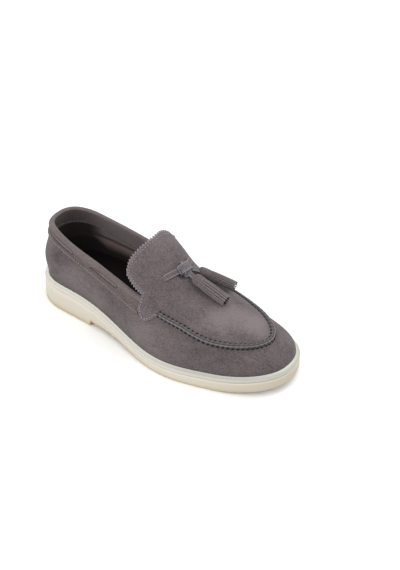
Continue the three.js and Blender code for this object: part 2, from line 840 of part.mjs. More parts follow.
function tieShape() {
  const knotX = knotAt.at * lastLength;
  const slitX = slitAt.at * lastLength;
  const crossing = [-1, -0.72, -0.4, 0, 0.4, 0.72, 1].map((share) => {
    const x = mix(knotX, slitX, Math.abs(share) ** 1.3);
    return [x, share * (share < 0 ? slitAt.lateral : slitAt.medial), tieLift(x)];
  });
  const hanging = (tassel) => {
    const endX = tassel.at * lastLength - 1.2;
    return [0, 0.35, 0.7, 1].map((share) => {
      const x = mix(knotX, endX, share);
      const height = mix(tieLift(x) + 1.4, tassel.tip - strapThickness / 2, share ** 2);
      return [x, mix(knotAt.across, tassel.across, share), height];
    });
  };
  const knot = [-1, -0.8, -0.3, 0.3, 0.8, 1].map((share) => {
    const swell = Math.sqrt(1 - (0.9 * share) ** 2);
    const centre = onSkin(knotX + share * knotSize * 0.46, knotAt.across, tieLift(knotX) + 2.3);
    const normal = skinNormal(knotX, knotAt.across);
    const ring = [];
    for (let i = 0; i < 10; i += 1) {
      const angle = 2 * Math.PI * i / 10;
      const sideways = new THREE.Vector3(0, 1, 0).multiplyScalar(Math.cos(angle) * swell * knotSize * 0.42);
      ring.push(centre.clone().add(sideways).addScaledVector(normal, Math.sin(angle) * swell * 2.2));
    }
    return ring;
  });
  return joined([
    loft(strapSections(crossing, strapWidth, strapThickness)),
    loft(strapSections(hanging(lateralTassel), strapWidth, strapThickness)),
    loft(strapSections(hanging(medialTassel), strapWidth, strapThickness)),
    loft(knot),
  ]);
}

// Tassel along +X from its tip at the origin: a wrapped cap, then strips round a core.
function tasselShape() {
  const core = [
    [0, 0.55], [0.02, 0.80], [0.08, 0.88], [0.25, 0.86], [0.29, 0.76], [0.6, 0.78], [0.94, 0.84],
  ];
  const sides = 14;
  const circle = (x, radius) => {
    const ring = [];
    for (let i = 0; i < sides; i += 1) {
      const angle = 2 * Math.PI * i / sides;
      ring.push(new THREE.Vector3(x, radius * Math.cos(angle), radius * Math.sin(angle)));
    }
    return ring;
  };
  const parts = [loft(core.map(([at, share]) => circle(at * tasselLength, share * tasselRadius)))];
  for (let k = 0; k < tasselStrips; k += 1) {
    const middle = 2 * Math.PI * (k + 0.5) / tasselStrips;
    const half = 0.78 * Math.PI / tasselStrips;
    const end = k % 2 === 0 ? 1 : 0.985;
    const strip = [[0.27, 0.80], [0.34, 0.93], [0.65, 0.95], [end, 1]].map(([at, share]) => {
      const corner = (radius, angle) => new THREE.Vector3(
        at * tasselLength, radius * Math.cos(angle), radius * Math.sin(angle),
      );
      const outer = share * tasselRadius;
      const inner = 0.62 * tasselRadius;
      return [
        corner(inner, middle - half), corner(outer, middle - half),
        corner(outer, middle + half), corner(inner, middle + half),
      ];
    });
    parts.push(loft(strip));
  }
  return joined(parts);
}

function materialOf(colour, roughness) {
  return new THREE.MeshStandardMaterial({ color: colour, roughness, metalness: 0 });
}

const shoe = new THREE.Group();

function addPiece(name, geometry, material, parent = shoe) {
  const mesh = new THREE.Mesh(geometry, material);
  mesh.name = name;
  parent.add(mesh);
  return mesh;
}

// Lays a tassel on the apron with its tip at the named place.
function addTassel(name, tassel) {
  const x = tassel.at * lastLength;
  const turn = tassel.turn * Math.PI / 180;
  const endX = x + Math.cos(turn) * tasselLength * 0.9;
  const endY = tassel.across + Math.sin(turn) * tasselLength * 0.9;
  const start = onSkin(x, tassel.across, tassel.tip);
  const end = onSkin(endX, endY, tassel.end);
  const holder = new THREE.Group();
  holder.position.copy(start);
  holder.quaternion.setFromUnitVectors(new THREE.Vector3(1, 0, 0), end.sub(start).normalize());
  shoe.add(holder);
  addPiece(name, tasselShape(), materialOf('#67605f', 0.95), holder);
}

addPiece('outsole', outsoleShape(), materialOf('#dfd3bf', 0.6));
addPiece('midsole', midsoleShape(), materialOf('#e4e5dd', 0.55));
addPiece('insole', insoleShape(), materialOf('#2a2321', 0.9));
addPiece('upper', upperShape(), materialOf('#6a6263', 0.95));
addPiece('apron', apronShape(), materialOf('#716768', 0.95));
addPiece('moc_seam', seamShape(), materialOf('#6d6667', 0.95));
addPiece('collar_band', bandShape(), materialOf('#665e60', 0.95));
const lateralLace = laceBetween(-1, sideSlot.from, -1, sideSlot.to);
const medialLace = laceBetween(1, sideSlot.to, 1, sideSlot.from);
addPiece('collar_lace_heel', laceBetween(1, heelSlotAt, -1, heelSlotAt), materialOf('#6e6769', 0.9));
addPiece('collar_lace_lateral', lateralLace, materialOf('#6e6769', 0.9));
addPiece('collar_lace_medial', medialLace, materialOf('#6e6769', 0.9));
addPiece('tassel_tie', tieShape(), materialOf('#6c6667', 0.9));
addTassel('tassel_lateral', lateralTassel);
addTassel('tassel_medial', medialTassel);

// The frame's origin is the bottom centre of the whole shoe.
const extent = new THREE.Box3().setFromObject(shoe, true);
shoe.position.set(-(extent.min.x + extent.max.x) / 2, -(extent.min.y + extent.max.y) / 2, -extent.min.z);

export default shoe;
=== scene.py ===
"""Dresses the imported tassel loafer: suede, stitches, seam, tassels, lining, sole and stage.

Shapes are worked out in millimetres from the shoe's own sizes, with X from the back of the heel to the
toe, Y towards the inner side of the foot and Z up from the floor. Blender's meshes are in metres.
"""

import math

import bmesh
import bpy
import numpy as np
from mathutils import Matrix, Vector


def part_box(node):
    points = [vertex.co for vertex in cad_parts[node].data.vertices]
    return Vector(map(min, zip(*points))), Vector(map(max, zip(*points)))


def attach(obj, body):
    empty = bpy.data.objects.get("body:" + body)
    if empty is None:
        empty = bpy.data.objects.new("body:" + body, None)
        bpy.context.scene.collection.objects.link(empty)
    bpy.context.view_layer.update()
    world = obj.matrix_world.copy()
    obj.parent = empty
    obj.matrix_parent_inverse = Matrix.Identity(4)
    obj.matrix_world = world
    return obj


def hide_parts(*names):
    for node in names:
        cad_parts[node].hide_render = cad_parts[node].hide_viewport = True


bl_info = {
    "name": "Tassel Loafer",
    "version": (1, 0, 0),
    "blender": (4, 5, 0),
    "location": "View3D > Sidebar > Loafer",
    "description": "Builds the suede, trim, sole and stage of a tassel loafer round its packed frame",
    "category": "Object",
}

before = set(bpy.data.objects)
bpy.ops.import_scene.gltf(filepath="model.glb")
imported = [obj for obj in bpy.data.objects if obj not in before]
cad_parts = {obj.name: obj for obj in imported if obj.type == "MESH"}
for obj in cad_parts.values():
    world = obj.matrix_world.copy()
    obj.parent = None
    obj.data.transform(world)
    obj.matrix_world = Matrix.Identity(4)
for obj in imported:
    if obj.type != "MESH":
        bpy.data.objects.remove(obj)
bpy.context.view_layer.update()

METRE = 0.001
BODY = "root"

# Shares of the last's length from the heel. Widths are in ball widths, heights of the ridge in instep
# heights, roundness 2 is an ellipse.
LAST_ROWS = (
    "at lateral medial crown round",
    (0.00, 0.290, 0.290, 0.831, 2.60),
    (0.12, 0.329, 0.338, 0.907, 2.45),
    (0.28, 0.362, 0.362, 0.966, 2.15),
    (0.40, 0.420, 0.375, 1.000, 2.05),
    (0.47, 0.471, 0.400, 0.935, 2.05),
    (0.53, 0.515, 0.427, 0.765, 1.96),
    (0.59, 0.546, 0.446, 0.660, 1.92),
    (0.68, 0.548, 0.457, 0.580, 2.10),
    (0.80, 0.467, 0.452, 0.473, 2.06),
    (0.92, 0.390, 0.438, 0.386, 2.05),
    (1.00, 0.348, 0.433, 0.347, 2.20),
)

# Top of the sole under the foot, in heel seats.
SEAT_ROWS = (
    "at seat",
    (0.00, 1.000),
    (0.25, 0.971),
    (0.42, 0.643),
    (0.55, 0.515),
    (0.70, 0.559),
    (0.85, 0.643),
    (1.00, 0.864),
)

# Hollow under the waist, in breast heights.
WAIST_ROWS = (
    "at rise",
    (0.276, 1.00),
    (0.36, 1.06),
    (0.43, 0.94),
    (0.52, 0.38),
    (0.60, 0.00),
)

# Top line of the collar, in collar heights.
TOPLINE_ROWS = (
    "at height",
    (0.00, 1.000),
    (0.08, 0.975),
    (0.16, 0.918),
    (0.26, 0.866),
    (0.36, 0.813),
    (0.46, 0.779),
    (0.52, 0.748),
)

# How far the wall swells over the sole, in walls, and how high above the seat, in millimetres.
SWELL_ROWS = (
    "at swell reach",
    (0.00, 1.60, 46),
    (0.14, 1.40, 44),
    (0.30, 0.65, 36),
    (0.50, 0.50, 32),
    (0.70, 0.70, 30),
    (0.86, 0.90, 21),
    (1.00, 1.00, 18),
)

# Edge of tongue and apron, and foot of the wings, as shares of the half width.
APRON_ROWS = (
    "at edge",
    (0.420, 0.775),
    (0.445, 0.792),
    (0.480, 0.785),
    (0.505, 0.765),
    (0.540, 0.758),
    (0.580, 0.751),
    (0.630, 0.744),
    (0.680, 0.747),
)
WING_ROWS = (
    "at foot",
    (0.505, 0.885),
    (0.520, 0.902),
    (0.541, 0.888),
    (0.562, 0.842),
    (0.580, 0.772),
)

# Depth of the collar band outside and of its facing inside, in millimetres along the surface.
BAND_ROWS = (
    "at outside inside",
    (0.00, 12.8, 19),
    (0.20, 13.0, 20),
    (0.36, 15.0, 20),
    (0.51, 17.0, 16),
)

BREAST_AT, BALL_DOWN_AT, BALL_UP_AT = 0.27, 0.60, 0.76
TONGUE_BACK_AT, WING_BACK_AT, WING_FRONT_AT = 0.422, 0.505, 0.580
APRON_ROUND_AT, APRON_TIP_AT, LIFT_END_AT = 0.680, 0.919, 0.625
HEEL_SLOT_AT, SIDE_SLOT_AT = 0.181, (0.264, 0.397)
KNOT_AT = 0.5685

# Soft dents of the suede wall: where along the length, which side, height over the seat, half length,
# half width and depth in millimetres, and the lean of the dent from upright in degrees.
WALL_DENTS = (
    (0.115, -1, 33, 17, 7, 0.9, 8),
    (0.235, -1, 24, 16, 8, 0.5, 28),
    (0.46, -1, 20, 15, 7, 0.5, -24),
    (0.66, -1, 22, 11, 6, 0.5, -52),
    (0.83, -1, 15, 12, 6, 0.4, -70),
    (0.13, 1, 32, 16, 7, 0.8, 5),
    (0.40, 1, 22, 15, 8, 0.7, 20),
    (0.67, 1, 20, 11, 6, 0.5, -45),
)

# Soft dents of the apron: share of the length, millimetres across, half length, half width, depth, turn.
APRON_DENTS = (
    (0.475, -16, 15, 7, 0.7, 15),
    (0.560, -24, 14, 6, 0.6, 62),
    (0.660, -6, 18, 7, 0.5, 80),
    (0.745, 12, 16, 7, 0.5, 96),
    (0.800, -12, 12, 6, 0.4, 60),
)

# Middle lines of slits and tassels: share of the length, millimetres across, turn in degrees, lift of
# the cap and of the end over the skin in millimetres, share of the named radius.
SLIT_AT, SLIT_ACROSS = 0.5435, {-1: 22, 1: 18}
LATERAL_TASSEL = (0.613, -1.3, 1.5, 6.1, 6.3, 1.0)
MEDIAL_TASSEL = (0.598, 11.6, 30, 5.2, 6.2, 0.84)

# Half section of the turned edges of the moccasin seam, from the apron outwards: half widths sideways,
# millimetres up, share of the apron's lift, how pale (cut edges and a painted highlight along the
# ridge) and how much painted shade (in the groove and at the foot).
SEAM_SECTION = (
    (-1.00, 0.30, 1.00, 0.00, 0.00),
    (-1.02, 1.10, 1.00, 0.00, 0.00),
    (-0.90, 1.90, 0.95, 0.10, 0.00),
    (-0.66, 2.45, 0.85, 0.35, 0.00),
    (-0.36, 2.50, 0.70, 0.30, 0.00),
    (-0.14, 2.25, 0.60, 0.10, 0.20),
    (-0.02, 1.95, 0.50, 0.00, 0.55),
    (0.08, 2.30, 0.45, 0.50, 0.10),
    (0.24, 2.75, 0.38, 1.00, 0.00),
    (0.44, 2.95, 0.30, 0.75, 0.00),
    (0.66, 2.70, 0.20, 0.20, 0.00),
    (0.86, 2.00, 0.10, 0.00, 0.20),
    (0.98, 1.20, 0.00, 0.00, 0.40),
    (1.00, 0.30, 0.00, 0.00, 0.50),
    (0.00, 0.30, 0.00, 0.00, 0.00),
    (0.00, 0.30, 1.00, 0.00, 0.00),
)

# Height of the seam that its section is drawn for, in millimetres.
SEAM_SECTION_HEIGHT = 2.9

# Section of a flat strap with rounded edges: half widths sideways, thicknesses up, how pale (painted
# highlights on the upper edges) and how much painted shade (under the strap, a little along its top).
STRAP_SECTION = (
    (-1.00, 0.25, 0.0, 0.8),
    (-0.90, 0.00, 0.0, 1.0),
    (-0.40, 0.00, 0.0, 1.0),
    (0.40, 0.00, 0.0, 1.0),
    (0.90, 0.00, 0.0, 1.0),
    (1.00, 0.25, 0.0, 0.8),
    (1.00, 0.70, 0.4, 0.0),
    (0.93, 0.95, 0.5, 0.0),
    (0.75, 1.05, 0.1, 0.0),
    (0.35, 0.95, 0.0, 0.2),
    (-0.35, 0.95, 0.0, 0.2),
    (-0.75, 1.05, 0.1, 0.0),
    (-0.93, 0.95, 0.5, 0.0),
    (-1.00, 0.70, 0.4, 0.0),
)

# Lace in a slot, from its lower edge to its upper one: millimetres over the wall, how pale (a painted
# highlight under the upper lip) and how much painted shade (at the lips).
LACE_SECTION = (
    (0.60, 0.00, 0.35),
    (0.95, 0.00, 0.15),
    (1.05, 0.00, 0.10),
    (1.10, 0.00, 0.10),
    (1.10, 0.15, 0.05),
    (1.00, 0.50, 0.00),
    (0.30, 0.00, 1.00),
)

# Cap and core of a tassel: share of its length, share of its radius, how pale (a painted highlight at
# the cap's lower edge) and how much painted shade (on the core under the strips and in its hollow). The
# core ends in a ring with a hollow and a rolled middle.
CORE_SECTION = (
    (0.000, 0.50, 0.0, 0.00),
    (0.004, 0.68, 0.0, 0.00),
    (0.020, 0.84, 0.0, 0.00),
    (0.050, 0.94, 0.0, 0.00),
    (0.100, 1.00, 0.0, 0.00),
    (0.180, 1.02, 0.0, 0.00),
    (0.235, 1.03, 0.0, 0.00),
    (0.250, 1.01, 0.5, 0.00),
    (0.262, 0.84, 0.0, 0.90),
    (0.450, 0.84, 0.0, 0.95),
    (0.700, 0.86, 0.0, 0.95),
    (0.930, 0.86, 0.0, 0.90),
    (0.930, 0.72, 0.0, 0.95),
    (0.880, 0.66, 0.0, 1.00),
    (0.880, 0.36, 0.0, 1.00),
    (0.910, 0.34, 0.0, 0.90),
    (0.910, 0.10, 0.0, 0.90),
)

# One cut strip of a tassel: share of the length, and outer side as a share of the tassel's radius.
STRIP_ROWS = (
    (0.245, 0.88),
    (0.262, 0.98),
    (0.360, 1.04),
    (0.500, 1.06),
    (0.680, 1.07),
    (0.860, 1.06),
    (1.000, 1.01),
)

# Ends of the last in plan and over the ridge: reach as a share of the length, and power of the curve.
HEEL_PLAN, TOE_PLAN = (0.13, 2.4), (0.20, 2.3)
HEEL_RIDGE, TOE_RIDGE = (0.06, 2.5), (0.22, 2.12)

# Where the spine, which the ribs of the wall climb to, begins and ends, and how softly, in millimetres.
SPINE_FROM, SPINE_TO, SPINE_BLEND = 0.13, 0.80, 18

# How far the outer top line lies under the inner one, and where along and across the dip fades in.
OUTER_DIP, DIP_ALONG, DIP_ACROSS = 1.9, (30, 80), (8, 20)

# Power of the curve by which the tread rises to the toe.
SPRING_POWER = 1.8

# Width of the margin under the foot, and gap between feather line and wall, in millimetres.
MARGIN, SEAT_INSET = 9, 0.5

# How many columns of the apron make up one pinked tooth.
COLUMNS_PER_TOOTH = 4

# Sides of a tassel's core, crisp angle of its strips in degrees, and how much shorter the shortest is.
CORE_SIDES, STRIP_CRISP, STRIP_UNEVEN = 36, 50, 0.01

# The knot's two turns of strap, from the middle of the knot: millimetres forward, inwards and over the
# apron, and the width of each turn.
KNOT_WRAP = (
    (-0.6, -4.6, -0.6), (-0.8, -4.7, 3.8), (0, -2.4, 6.2), (0.4, 2.0, 6.2), (0.8, 3.9, 3.6), (0.8, 4.0, -0.6),
)
KNOT_TUCK = ((5.6, -2.6, -0.4), (5.2, -2.2, 3.2), (0.5, 0, 4.6), (-3.4, 1.4, 3.4), (-3.8, 1.6, 0.2))
WRAP_WIDTH, TUCK_WIDTH = 9.4, 7.2
KNOT_THICKNESS = 1.6

# The camera in the photograph's place: angles in radians, distance, aim on the shoe and shift of the aim
# to the right and up in millimetres, focal length and height of the picture in pixels, sensor in
# millimetres.
CAMERA_AZIMUTH, CAMERA_ELEVATION, CAMERA_ROLL = 0.6289952, 0.6108650, 0.00994536
CAMERA_DISTANCE, CAMERA_AIM, CAMERA_SHIFT = 1400, (146, 0, 30), (33.4848, 21.1561)
FOCAL_PIXELS, PHOTO_HEIGHT_PIXELS, SENSOR = 1391.94, 570, 36

# Lamps: metres to the camera's right, towards the camera and up from the shoe, side in metres, watts.
LAMPS = (
    ("key", 0.75, -0.55, 1.5, 1.1, 9.0),
    ("fill", -1.0, 1.1, 1.1, 1.6, 9.0),
)
SKY_STRENGTH, FLOOR_REACH = 1.2, 14.0

# Lighter and darker patches of the suede: place on the shoe in millimetres, radius in metres, strength.
WALL_PATCHES = (
    ((168, -58, 36), 0.042, 0.34),
    ((140, -52, 34), 0.030, 0.18),
    ((56, -36, 46), 0.028, 0.46),
    ((84, -40, 34), 0.030, 0.30),
    ((32, -36, 58), 0.020, -0.2),
    ((110, -44, 44), 0.018, -0.1),
    ((250, -42, 26), 0.026, -0.1),
)
APRON_PATCHES_AND_SHADOWS = (
    ((229, -9, 60), 0.030, 0.72),
    ((252, 7, 55), 0.028, 0.84),
    ((212, -22, 60), 0.028, 0.14),
    ((136, -6, 113), 0.030, 0.32),
    ((168, -30, 78), 0.030, -0.14),
    ((150, -30, 86), 0.018, -0.1),
    # Painted shadows between the tassels and under the knot.
    ((188, 10, 76), 0.008, -1.6),
    ((196, 15, 71), 0.009, -1.8),
    ((204, 19, 66), 0.008, -1.6),
    ((170, -7, 81), 0.006, -1.1),
)

# Tones of suede as factors on its colour: napped down, napped up, cut edge with painted light, and
# painted shade.
NAP_DARK, NAP_LIGHT, CUT_EDGE_AND_LIGHT_TONE, PAINTED_SHADE_TONE = 0.40, 1.73, 2.7, 0.22

# Tones of rubber as factors on its colour: cloudy, painted light on the ledge and painted shade on its
# rim.
CLOUD_TONE, LEDGE_LIGHT_TONE, RIM_SHADE_TONE = 0.94, 1.4, 0.46

# Middle of the painted shade on the rubber near the toe in millimetres, and how far it reaches in metres.
SOLE_TOE_SHADE_AT, SOLE_TOE_SHADE_REACH = (290, 0, 12), 0.12
STRIP_TOE_SHADE_AT, STRIP_TOE_SHADE_REACH = (290, 0, 20), 0.15

# Length, width and height in millimetres of one stitch and of one hole of each row; a hole is a dark
# bead that paints the shade in it.
STITCH, FINE_STITCH = (1.55, 0.9, 0.5), (1.35, 0.7, 0.4)
APRON_HOLE, WALL_HOLE = (1.9, 1.4, 0.55), (2.8, 1.5, 0.6)

# How far the stitch rows lie in from the edges of band, facing and tongue, in millimetres.
BAND_INSET, FACING_INSET, TONGUE_INSET = 1.5, 2.2, 2.0

# Lining: how far it starts over the foot of the wall and ends under its edge, and the gaps of its face
# and its back to the wall, in millimetres.
LINING_FOOT, LINING_END, LINING_FACE, LINING_BACK = 2.4, 5, 0.42, 0.12

# Plan of the gap between the tassels, from their caps to their ends, in millimetres.
TASSEL_GAP = ((184, 8), (205, 20))


def mix(start, end, share):
    return start + (end - start) * share


def ease(value, start, end):
    share = np.clip((value - start) / (end - start), 0, 1)
    return share * share * (3 - 2 * share)


def point(x, y, z):
    return np.stack(np.broadcast_arrays(x, y, z), -1).astype(float)


def unit(vectors):
    return vectors / np.maximum(np.linalg.norm(vectors, axis=-1, keepdims=True), 1e-9)


def rounded_end(distance, reach, power):
    """0 at the very end of the shoe, 1 from reach inwards."""
    share = np.clip(1 - distance / reach, 0, 1)
    return (1 - share**power) ** (1 / power)


def curves(rows, length):
    """Natural cubic through each column of a table, as functions of the distance from the heel."""
    names = rows[0].split()[1:]
    values = np.array(rows[1:], float)
    x = values[:, 0] * length
    count = len(x)
    span = np.diff(x)

    def curve(y):
        bend = np.eye(count)
        turn = np.zeros(count)
        for i in range(1, count - 1):
            bend[i, i - 1 : i + 2] = span[i - 1], 2 * (span[i - 1] + span[i]), span[i]
            turn[i] = 6 * ((y[i + 1] - y[i]) / span[i] - (y[i] - y[i - 1]) / span[i - 1])
        second = np.linalg.solve(bend, turn)

        def height(place):
            place = np.clip(place, x[0], x[-1])
            i = np.clip(np.searchsorted(x, place, side="right") - 1, 0, count - 2)
            a = (x[i + 1] - place) / span[i]
            b = 1 - a
            curved = (a**3 - a) * second[i] + (b**3 - b) * second[i + 1]
            return a * y[i] + b * y[i + 1] + curved * span[i] ** 2 / 6

        return height

    return {name: curve(column) for name, column in zip(names, values[:, 1:].T)}


def grid_normals(grid, ring=False):
    """Outward normals of a grid whose rows follow the foot and whose columns climb."""
    if ring:
        along = np.roll(grid, -1, 0) - np.roll(grid, 1, 0)
    else:
        along = np.gradient(grid, axis=0)
    return unit(np.cross(along, np.gradient(grid, axis=1)))


class Last:
    """Plan, skin and drawn lines of the shoe's last, in millimetres."""

    def __init__(self, sizes):
        self.length = sizes.last_length / METRE
        self.ball = sizes.ball_width / METRE
        self.instep = sizes.instep_height / METRE
        self.collar = sizes.collar_height / METRE
        self.seat = sizes.heel_seat / METRE
        self.rim = sizes.sole_rim / METRE
        self.wall = sizes.wall / METRE
        self.gap = sizes.clearance / METRE
        self.apron_thickness = sizes.apron_thickness / METRE
        self.band_thickness = sizes.band_thickness / METRE
        self.breast = sizes.heel_breast / METRE
        self.spring = sizes.toe_spring / METRE
        self.tongue_bow = sizes.tongue_bow / METRE
        self.tongue_corner = sizes.tongue_corner / METRE
        self.tongue_turn = sizes.tongue_turn / METRE
        self.tip_shift = sizes.tip_shift / METRE
        last = curves(LAST_ROWS, self.length)
        self.lateral, self.medial = last["lateral"], last["medial"]
        self.crown, self.roundness = last["crown"], last["round"]
        self.seat_share = curves(SEAT_ROWS, self.length)["seat"]
        self.waist_rise = curves(WAIST_ROWS, self.length)["rise"]
        self.topline = curves(TOPLINE_ROWS, self.length)["height"]
        swell = curves(SWELL_ROWS, self.length)
        self.swell, self.swell_reach = swell["swell"], swell["reach"]
        self.apron_share = curves(APRON_ROWS, self.length)["edge"]
        self.wing_share = curves(WING_ROWS, self.length)["foot"]
        band = curves(BAND_ROWS, self.length)
        self.band_outside, self.band_inside = band["outside"], band["inside"]

    def ends(self, x, heel, toe):
        """1 along the middle of the shoe, easing to 0 at its back and at its tip."""
        back = rounded_end(x, heel[0] * self.length, heel[1])
        return back * rounded_end(self.length - x, toe[0] * self.length, toe[1])

    def half_width(self, side, x):
        share = np.where(np.asarray(side) < 0, self.lateral(x), self.medial(x))
        return share * self.ball * self.ends(x, HEEL_PLAN, TOE_PLAN)

    def seat_height(self, x):
        return self.seat_share(x) * self.seat

    def tread_height(self, x):
        share = x / self.length
        lifted = np.clip((share - BALL_UP_AT) / (1 - BALL_UP_AT), 0, 1)
        front = self.spring * lifted**SPRING_POWER
        waist = self.waist_rise(x) * self.breast
        return np.where(share < BREAST_AT, 0, np.where(share < BALL_DOWN_AT, waist, front))

    def skin_height(self, x, y):
        """Outside of the upper above the seat, as a height over the plan."""
        reach = np.maximum(self.half_width(np.where(y < 0, -1, 1), x), 1e-6)
        power = self.roundness(x)
        rise = self.crown(x) * self.instep - self.seat_height(x)
        across = np.clip(np.abs(y) / reach, 0, 1)
        arch = (1 - across**power) ** (1 / power)
        return self.seat_height(x) + rise * self.ends(x, HEEL_RIDGE, TOE_RIDGE) * arch

    def skin_normal(self, x, y):
        step = 0.04
        slope_x = self.skin_height(x + step, y) - self.skin_height(x - step, y)
        slope_y = self.skin_height(x, y + step) - self.skin_height(x, y - step)
        return unit(point(-slope_x / (2 * step), -slope_y / (2 * step), 1))

    def on_skin(self, x, y, lift):
        lift = np.broadcast_to(lift, np.broadcast_shapes(np.shape(x), np.shape(y), np.shape(lift)))
        return point(x, y, self.skin_height(x, y)) + self.skin_normal(x, y) * lift[..., None]

    def footprint(self, turn):
        """Feather line round the foot: 0 at the back of the heel, outer side first, 0.5 at the toe."""
        wrapped = turn - np.floor(turn)
        side = np.where(wrapped < 0.5, -1, 1)
        along = 1 - np.abs(1 - 2 * wrapped)
        x = self.length * (1 - np.cos(np.pi * along)) / 2
        return point(x, side * self.half_width(side, x), 0)

    def turn_at(self, side, x):
        turn = np.arccos(np.clip(1 - 2 * x / self.length, -1, 1)) / (2 * np.pi)
        return -side * turn

    def footprint_out(self, turn):
        step = 0.002
        run = self.footprint(turn + step) - self.footprint(turn - step)
        return unit(point(run[..., 1], -run[..., 0], 0))

    def spine_x(self, x):
        low, high = SPINE_FROM * self.length, SPINE_TO * self.length
        raised = (x + low + np.hypot(x - low, SPINE_BLEND)) / 2
        return (raised + high - np.hypot(raised - high, SPINE_BLEND)) / 2

    def rib_point(self, turn, climb):
        foot = self.footprint(turn)
        spine = self.spine_x(foot[..., 0])
        share = np.maximum(np.cos(climb), 0) ** (2 / self.roundness(spine))
        x = mix(spine, foot[..., 0], share)
        y = foot[..., 1] * share
        z = self.skin_height(x, y)
        rise = np.clip((z - self.seat_height(x)) / self.swell_reach(foot[..., 0]), 0, 1)
        swell = self.swell(foot[..., 0]) * self.wall * np.sin(np.pi * rise) ** 2
        return point(x, y, z) + self.footprint_out(turn) * swell[..., None]

    def apron_middle(self, x):
        return self.tip_shift * ease(x, APRON_ROUND_AT * self.length, APRON_TIP_AT * self.length)

    def apron_edge(self, side, x):
        """Line of the moccasin seam and, behind it, of the tongue's edge."""
        base = np.minimum(x, APRON_ROUND_AT * self.length)
        span = (APRON_TIP_AT - APRON_ROUND_AT) * self.length
        tip = rounded_end(APRON_TIP_AT * self.length - x, span, 2)
        reach = self.apron_share(base) * self.half_width(side, base) * tip
        return self.apron_middle(x) + side * reach

    def climb_to(self, turn, inside):
        low = np.zeros(turn.shape)
        high = np.full(turn.shape, np.pi / 2)
        for _ in range(30):
            middle = (low + high) / 2
            hit = inside(self.rib_point(turn, middle))
            high = np.where(hit, middle, high)
            low = np.where(hit, low, middle)
        return (low + high) / 2

    def topline_climb(self, turn):
        def above(p):
            dip = OUTER_DIP * ease(p[..., 0], *DIP_ALONG) * ease(-p[..., 1], *DIP_ACROSS)
            return p[..., 2] > self.topline(p[..., 0]) * self.collar - dip

        return self.climb_to(turn, above)

    def seam_climb(self, turn):
        side = np.where(turn < 0.5, -1, 1)
        tip = APRON_TIP_AT * self.length + self.gap

        def inside(p):
            edge = self.apron_edge(side, p[..., 0]) + side * self.gap
            return (p[..., 0] < tip) & (side * (p[..., 1] - edge) < 0)

        return self.climb_to(turn, inside)

    def edge_climb(self, turn):
        """Climb of the wall's top edge: the top line behind the wings, the seam in front of them."""
        x = self.footprint(turn)[..., 0]
        front = ease(x, (WING_BACK_AT + 0.005) * self.length, (WING_FRONT_AT + 0.01) * self.length)
        return mix(self.topline_climb(turn), self.seam_climb(turn), front)

    def apron_lift(self, x):
        """Height of the apron over the skin: flush inside the seam, over the wall at wings and tongue."""
        high = self.apron_thickness + 2 * self.gap
        return high * (1 - ease(x, WING_FRONT_AT * self.length, LIFT_END_AT * self.length))


class Ribs:
    """Lines that climb the wall at given turns, measured from their foot along the surface."""

    def __init__(self, last, turns, climbs, steps=72):
        climb = climbs[:, None] * np.linspace(0, 1, steps + 1)
        self.points = last.rib_point(turns[:, None], climb)
        runs = np.linalg.norm(np.diff(self.points, axis=1), axis=-1)
        self.walked = np.pad(np.cumsum(runs, axis=1), ((0, 0), (1, 0)))
        self.length = self.walked[:, -1]

    def at(self, distances):
        placed = [
            [np.interp(d, walked, line[:, axis]) for axis in range(3)]
            for d, walked, line in zip(distances, self.walked, self.points)
        ]
        return np.array(placed).transpose(0, 2, 1)


# Meshes

def sheet(front, back, present=None):
    """Closed sheet between two grids. Cells that are not present are holes with walls round them."""
    if present is None:
        present = np.ones((front.shape[0] - 1, front.shape[1] - 1), bool)
    count = front.shape[0] * front.shape[1]
    ids = np.arange(count).reshape(front.shape[:2])
    top = np.stack([ids[:-1, :-1], ids[1:, :-1], ids[1:, 1:], ids[:-1, 1:]], -1)[present]
    faces = [top, top[:, ::-1] + count]
    around = np.pad(present, 1)
    edges = (
        (around[:-2, 1:-1], ids[:-1, :-1], ids[:-1, 1:]),
        (around[2:, 1:-1], ids[1:, :-1], ids[1:, 1:]),
        (around[1:-1, :-2], ids[:-1, :-1], ids[1:, :-1]),
        (around[1:-1, 2:], ids[:-1, 1:], ids[1:, 1:]),
    )
    for neighbour, first, second in edges:
        bare = present & ~neighbour
        a, b = first[bare], second[bare]
        faces.append(np.stack([a, b, b + count, a + count], -1))
    points = np.concatenate([front.reshape(-1, 3), back.reshape(-1, 3)])
    return points, np.concatenate(faces).tolist()


def loft(sections, ring=False):
    """Skin through closed sections. A ring comes back to its first section, others get flat ends."""
    rows, count = sections.shape[:2]
    ids = np.arange(rows * count).reshape(rows, count)
    beside = np.roll(ids, -1, 1)
    if ring:
        faces = np.stack([ids, np.roll(ids, -1, 0), np.roll(beside, -1, 0), beside], -1)
    else:
        faces = np.stack([ids[:-1], ids[1:], beside[1:], beside[:-1]], -1)
    faces = faces.reshape(-1, 4).tolist()
    if not ring:
        faces.append(ids[0].tolist())
        faces.append(ids[-1, ::-1].tolist())
    return sections.reshape(-1, 3), faces


def plate(outlines):
    """Solid between outlines round the foot, closed across it at the first and the last one."""
    rows, count = outlines.shape[:2]
    ids = np.arange(rows * count).reshape(rows, count)
    beside = np.roll(ids, -1, 1)
    faces = np.stack([ids[:-1], ids[1:], beside[1:], beside[:-1]], -1).reshape(-1, 4).tolist()
    half = count // 2
    for line in (ids[0], ids[-1]):
        faces.append([line[0], line[1], line[-1]])
        for j in range(1, half - 1):
            faces.append([line[j], line[j + 1], line[-j - 1], line[-j]])
        faces.append([line[half - 1], line[half], line[half + 1]])
    return outlines.reshape(-1, 3), [[int(i) for i in face] for face in faces]


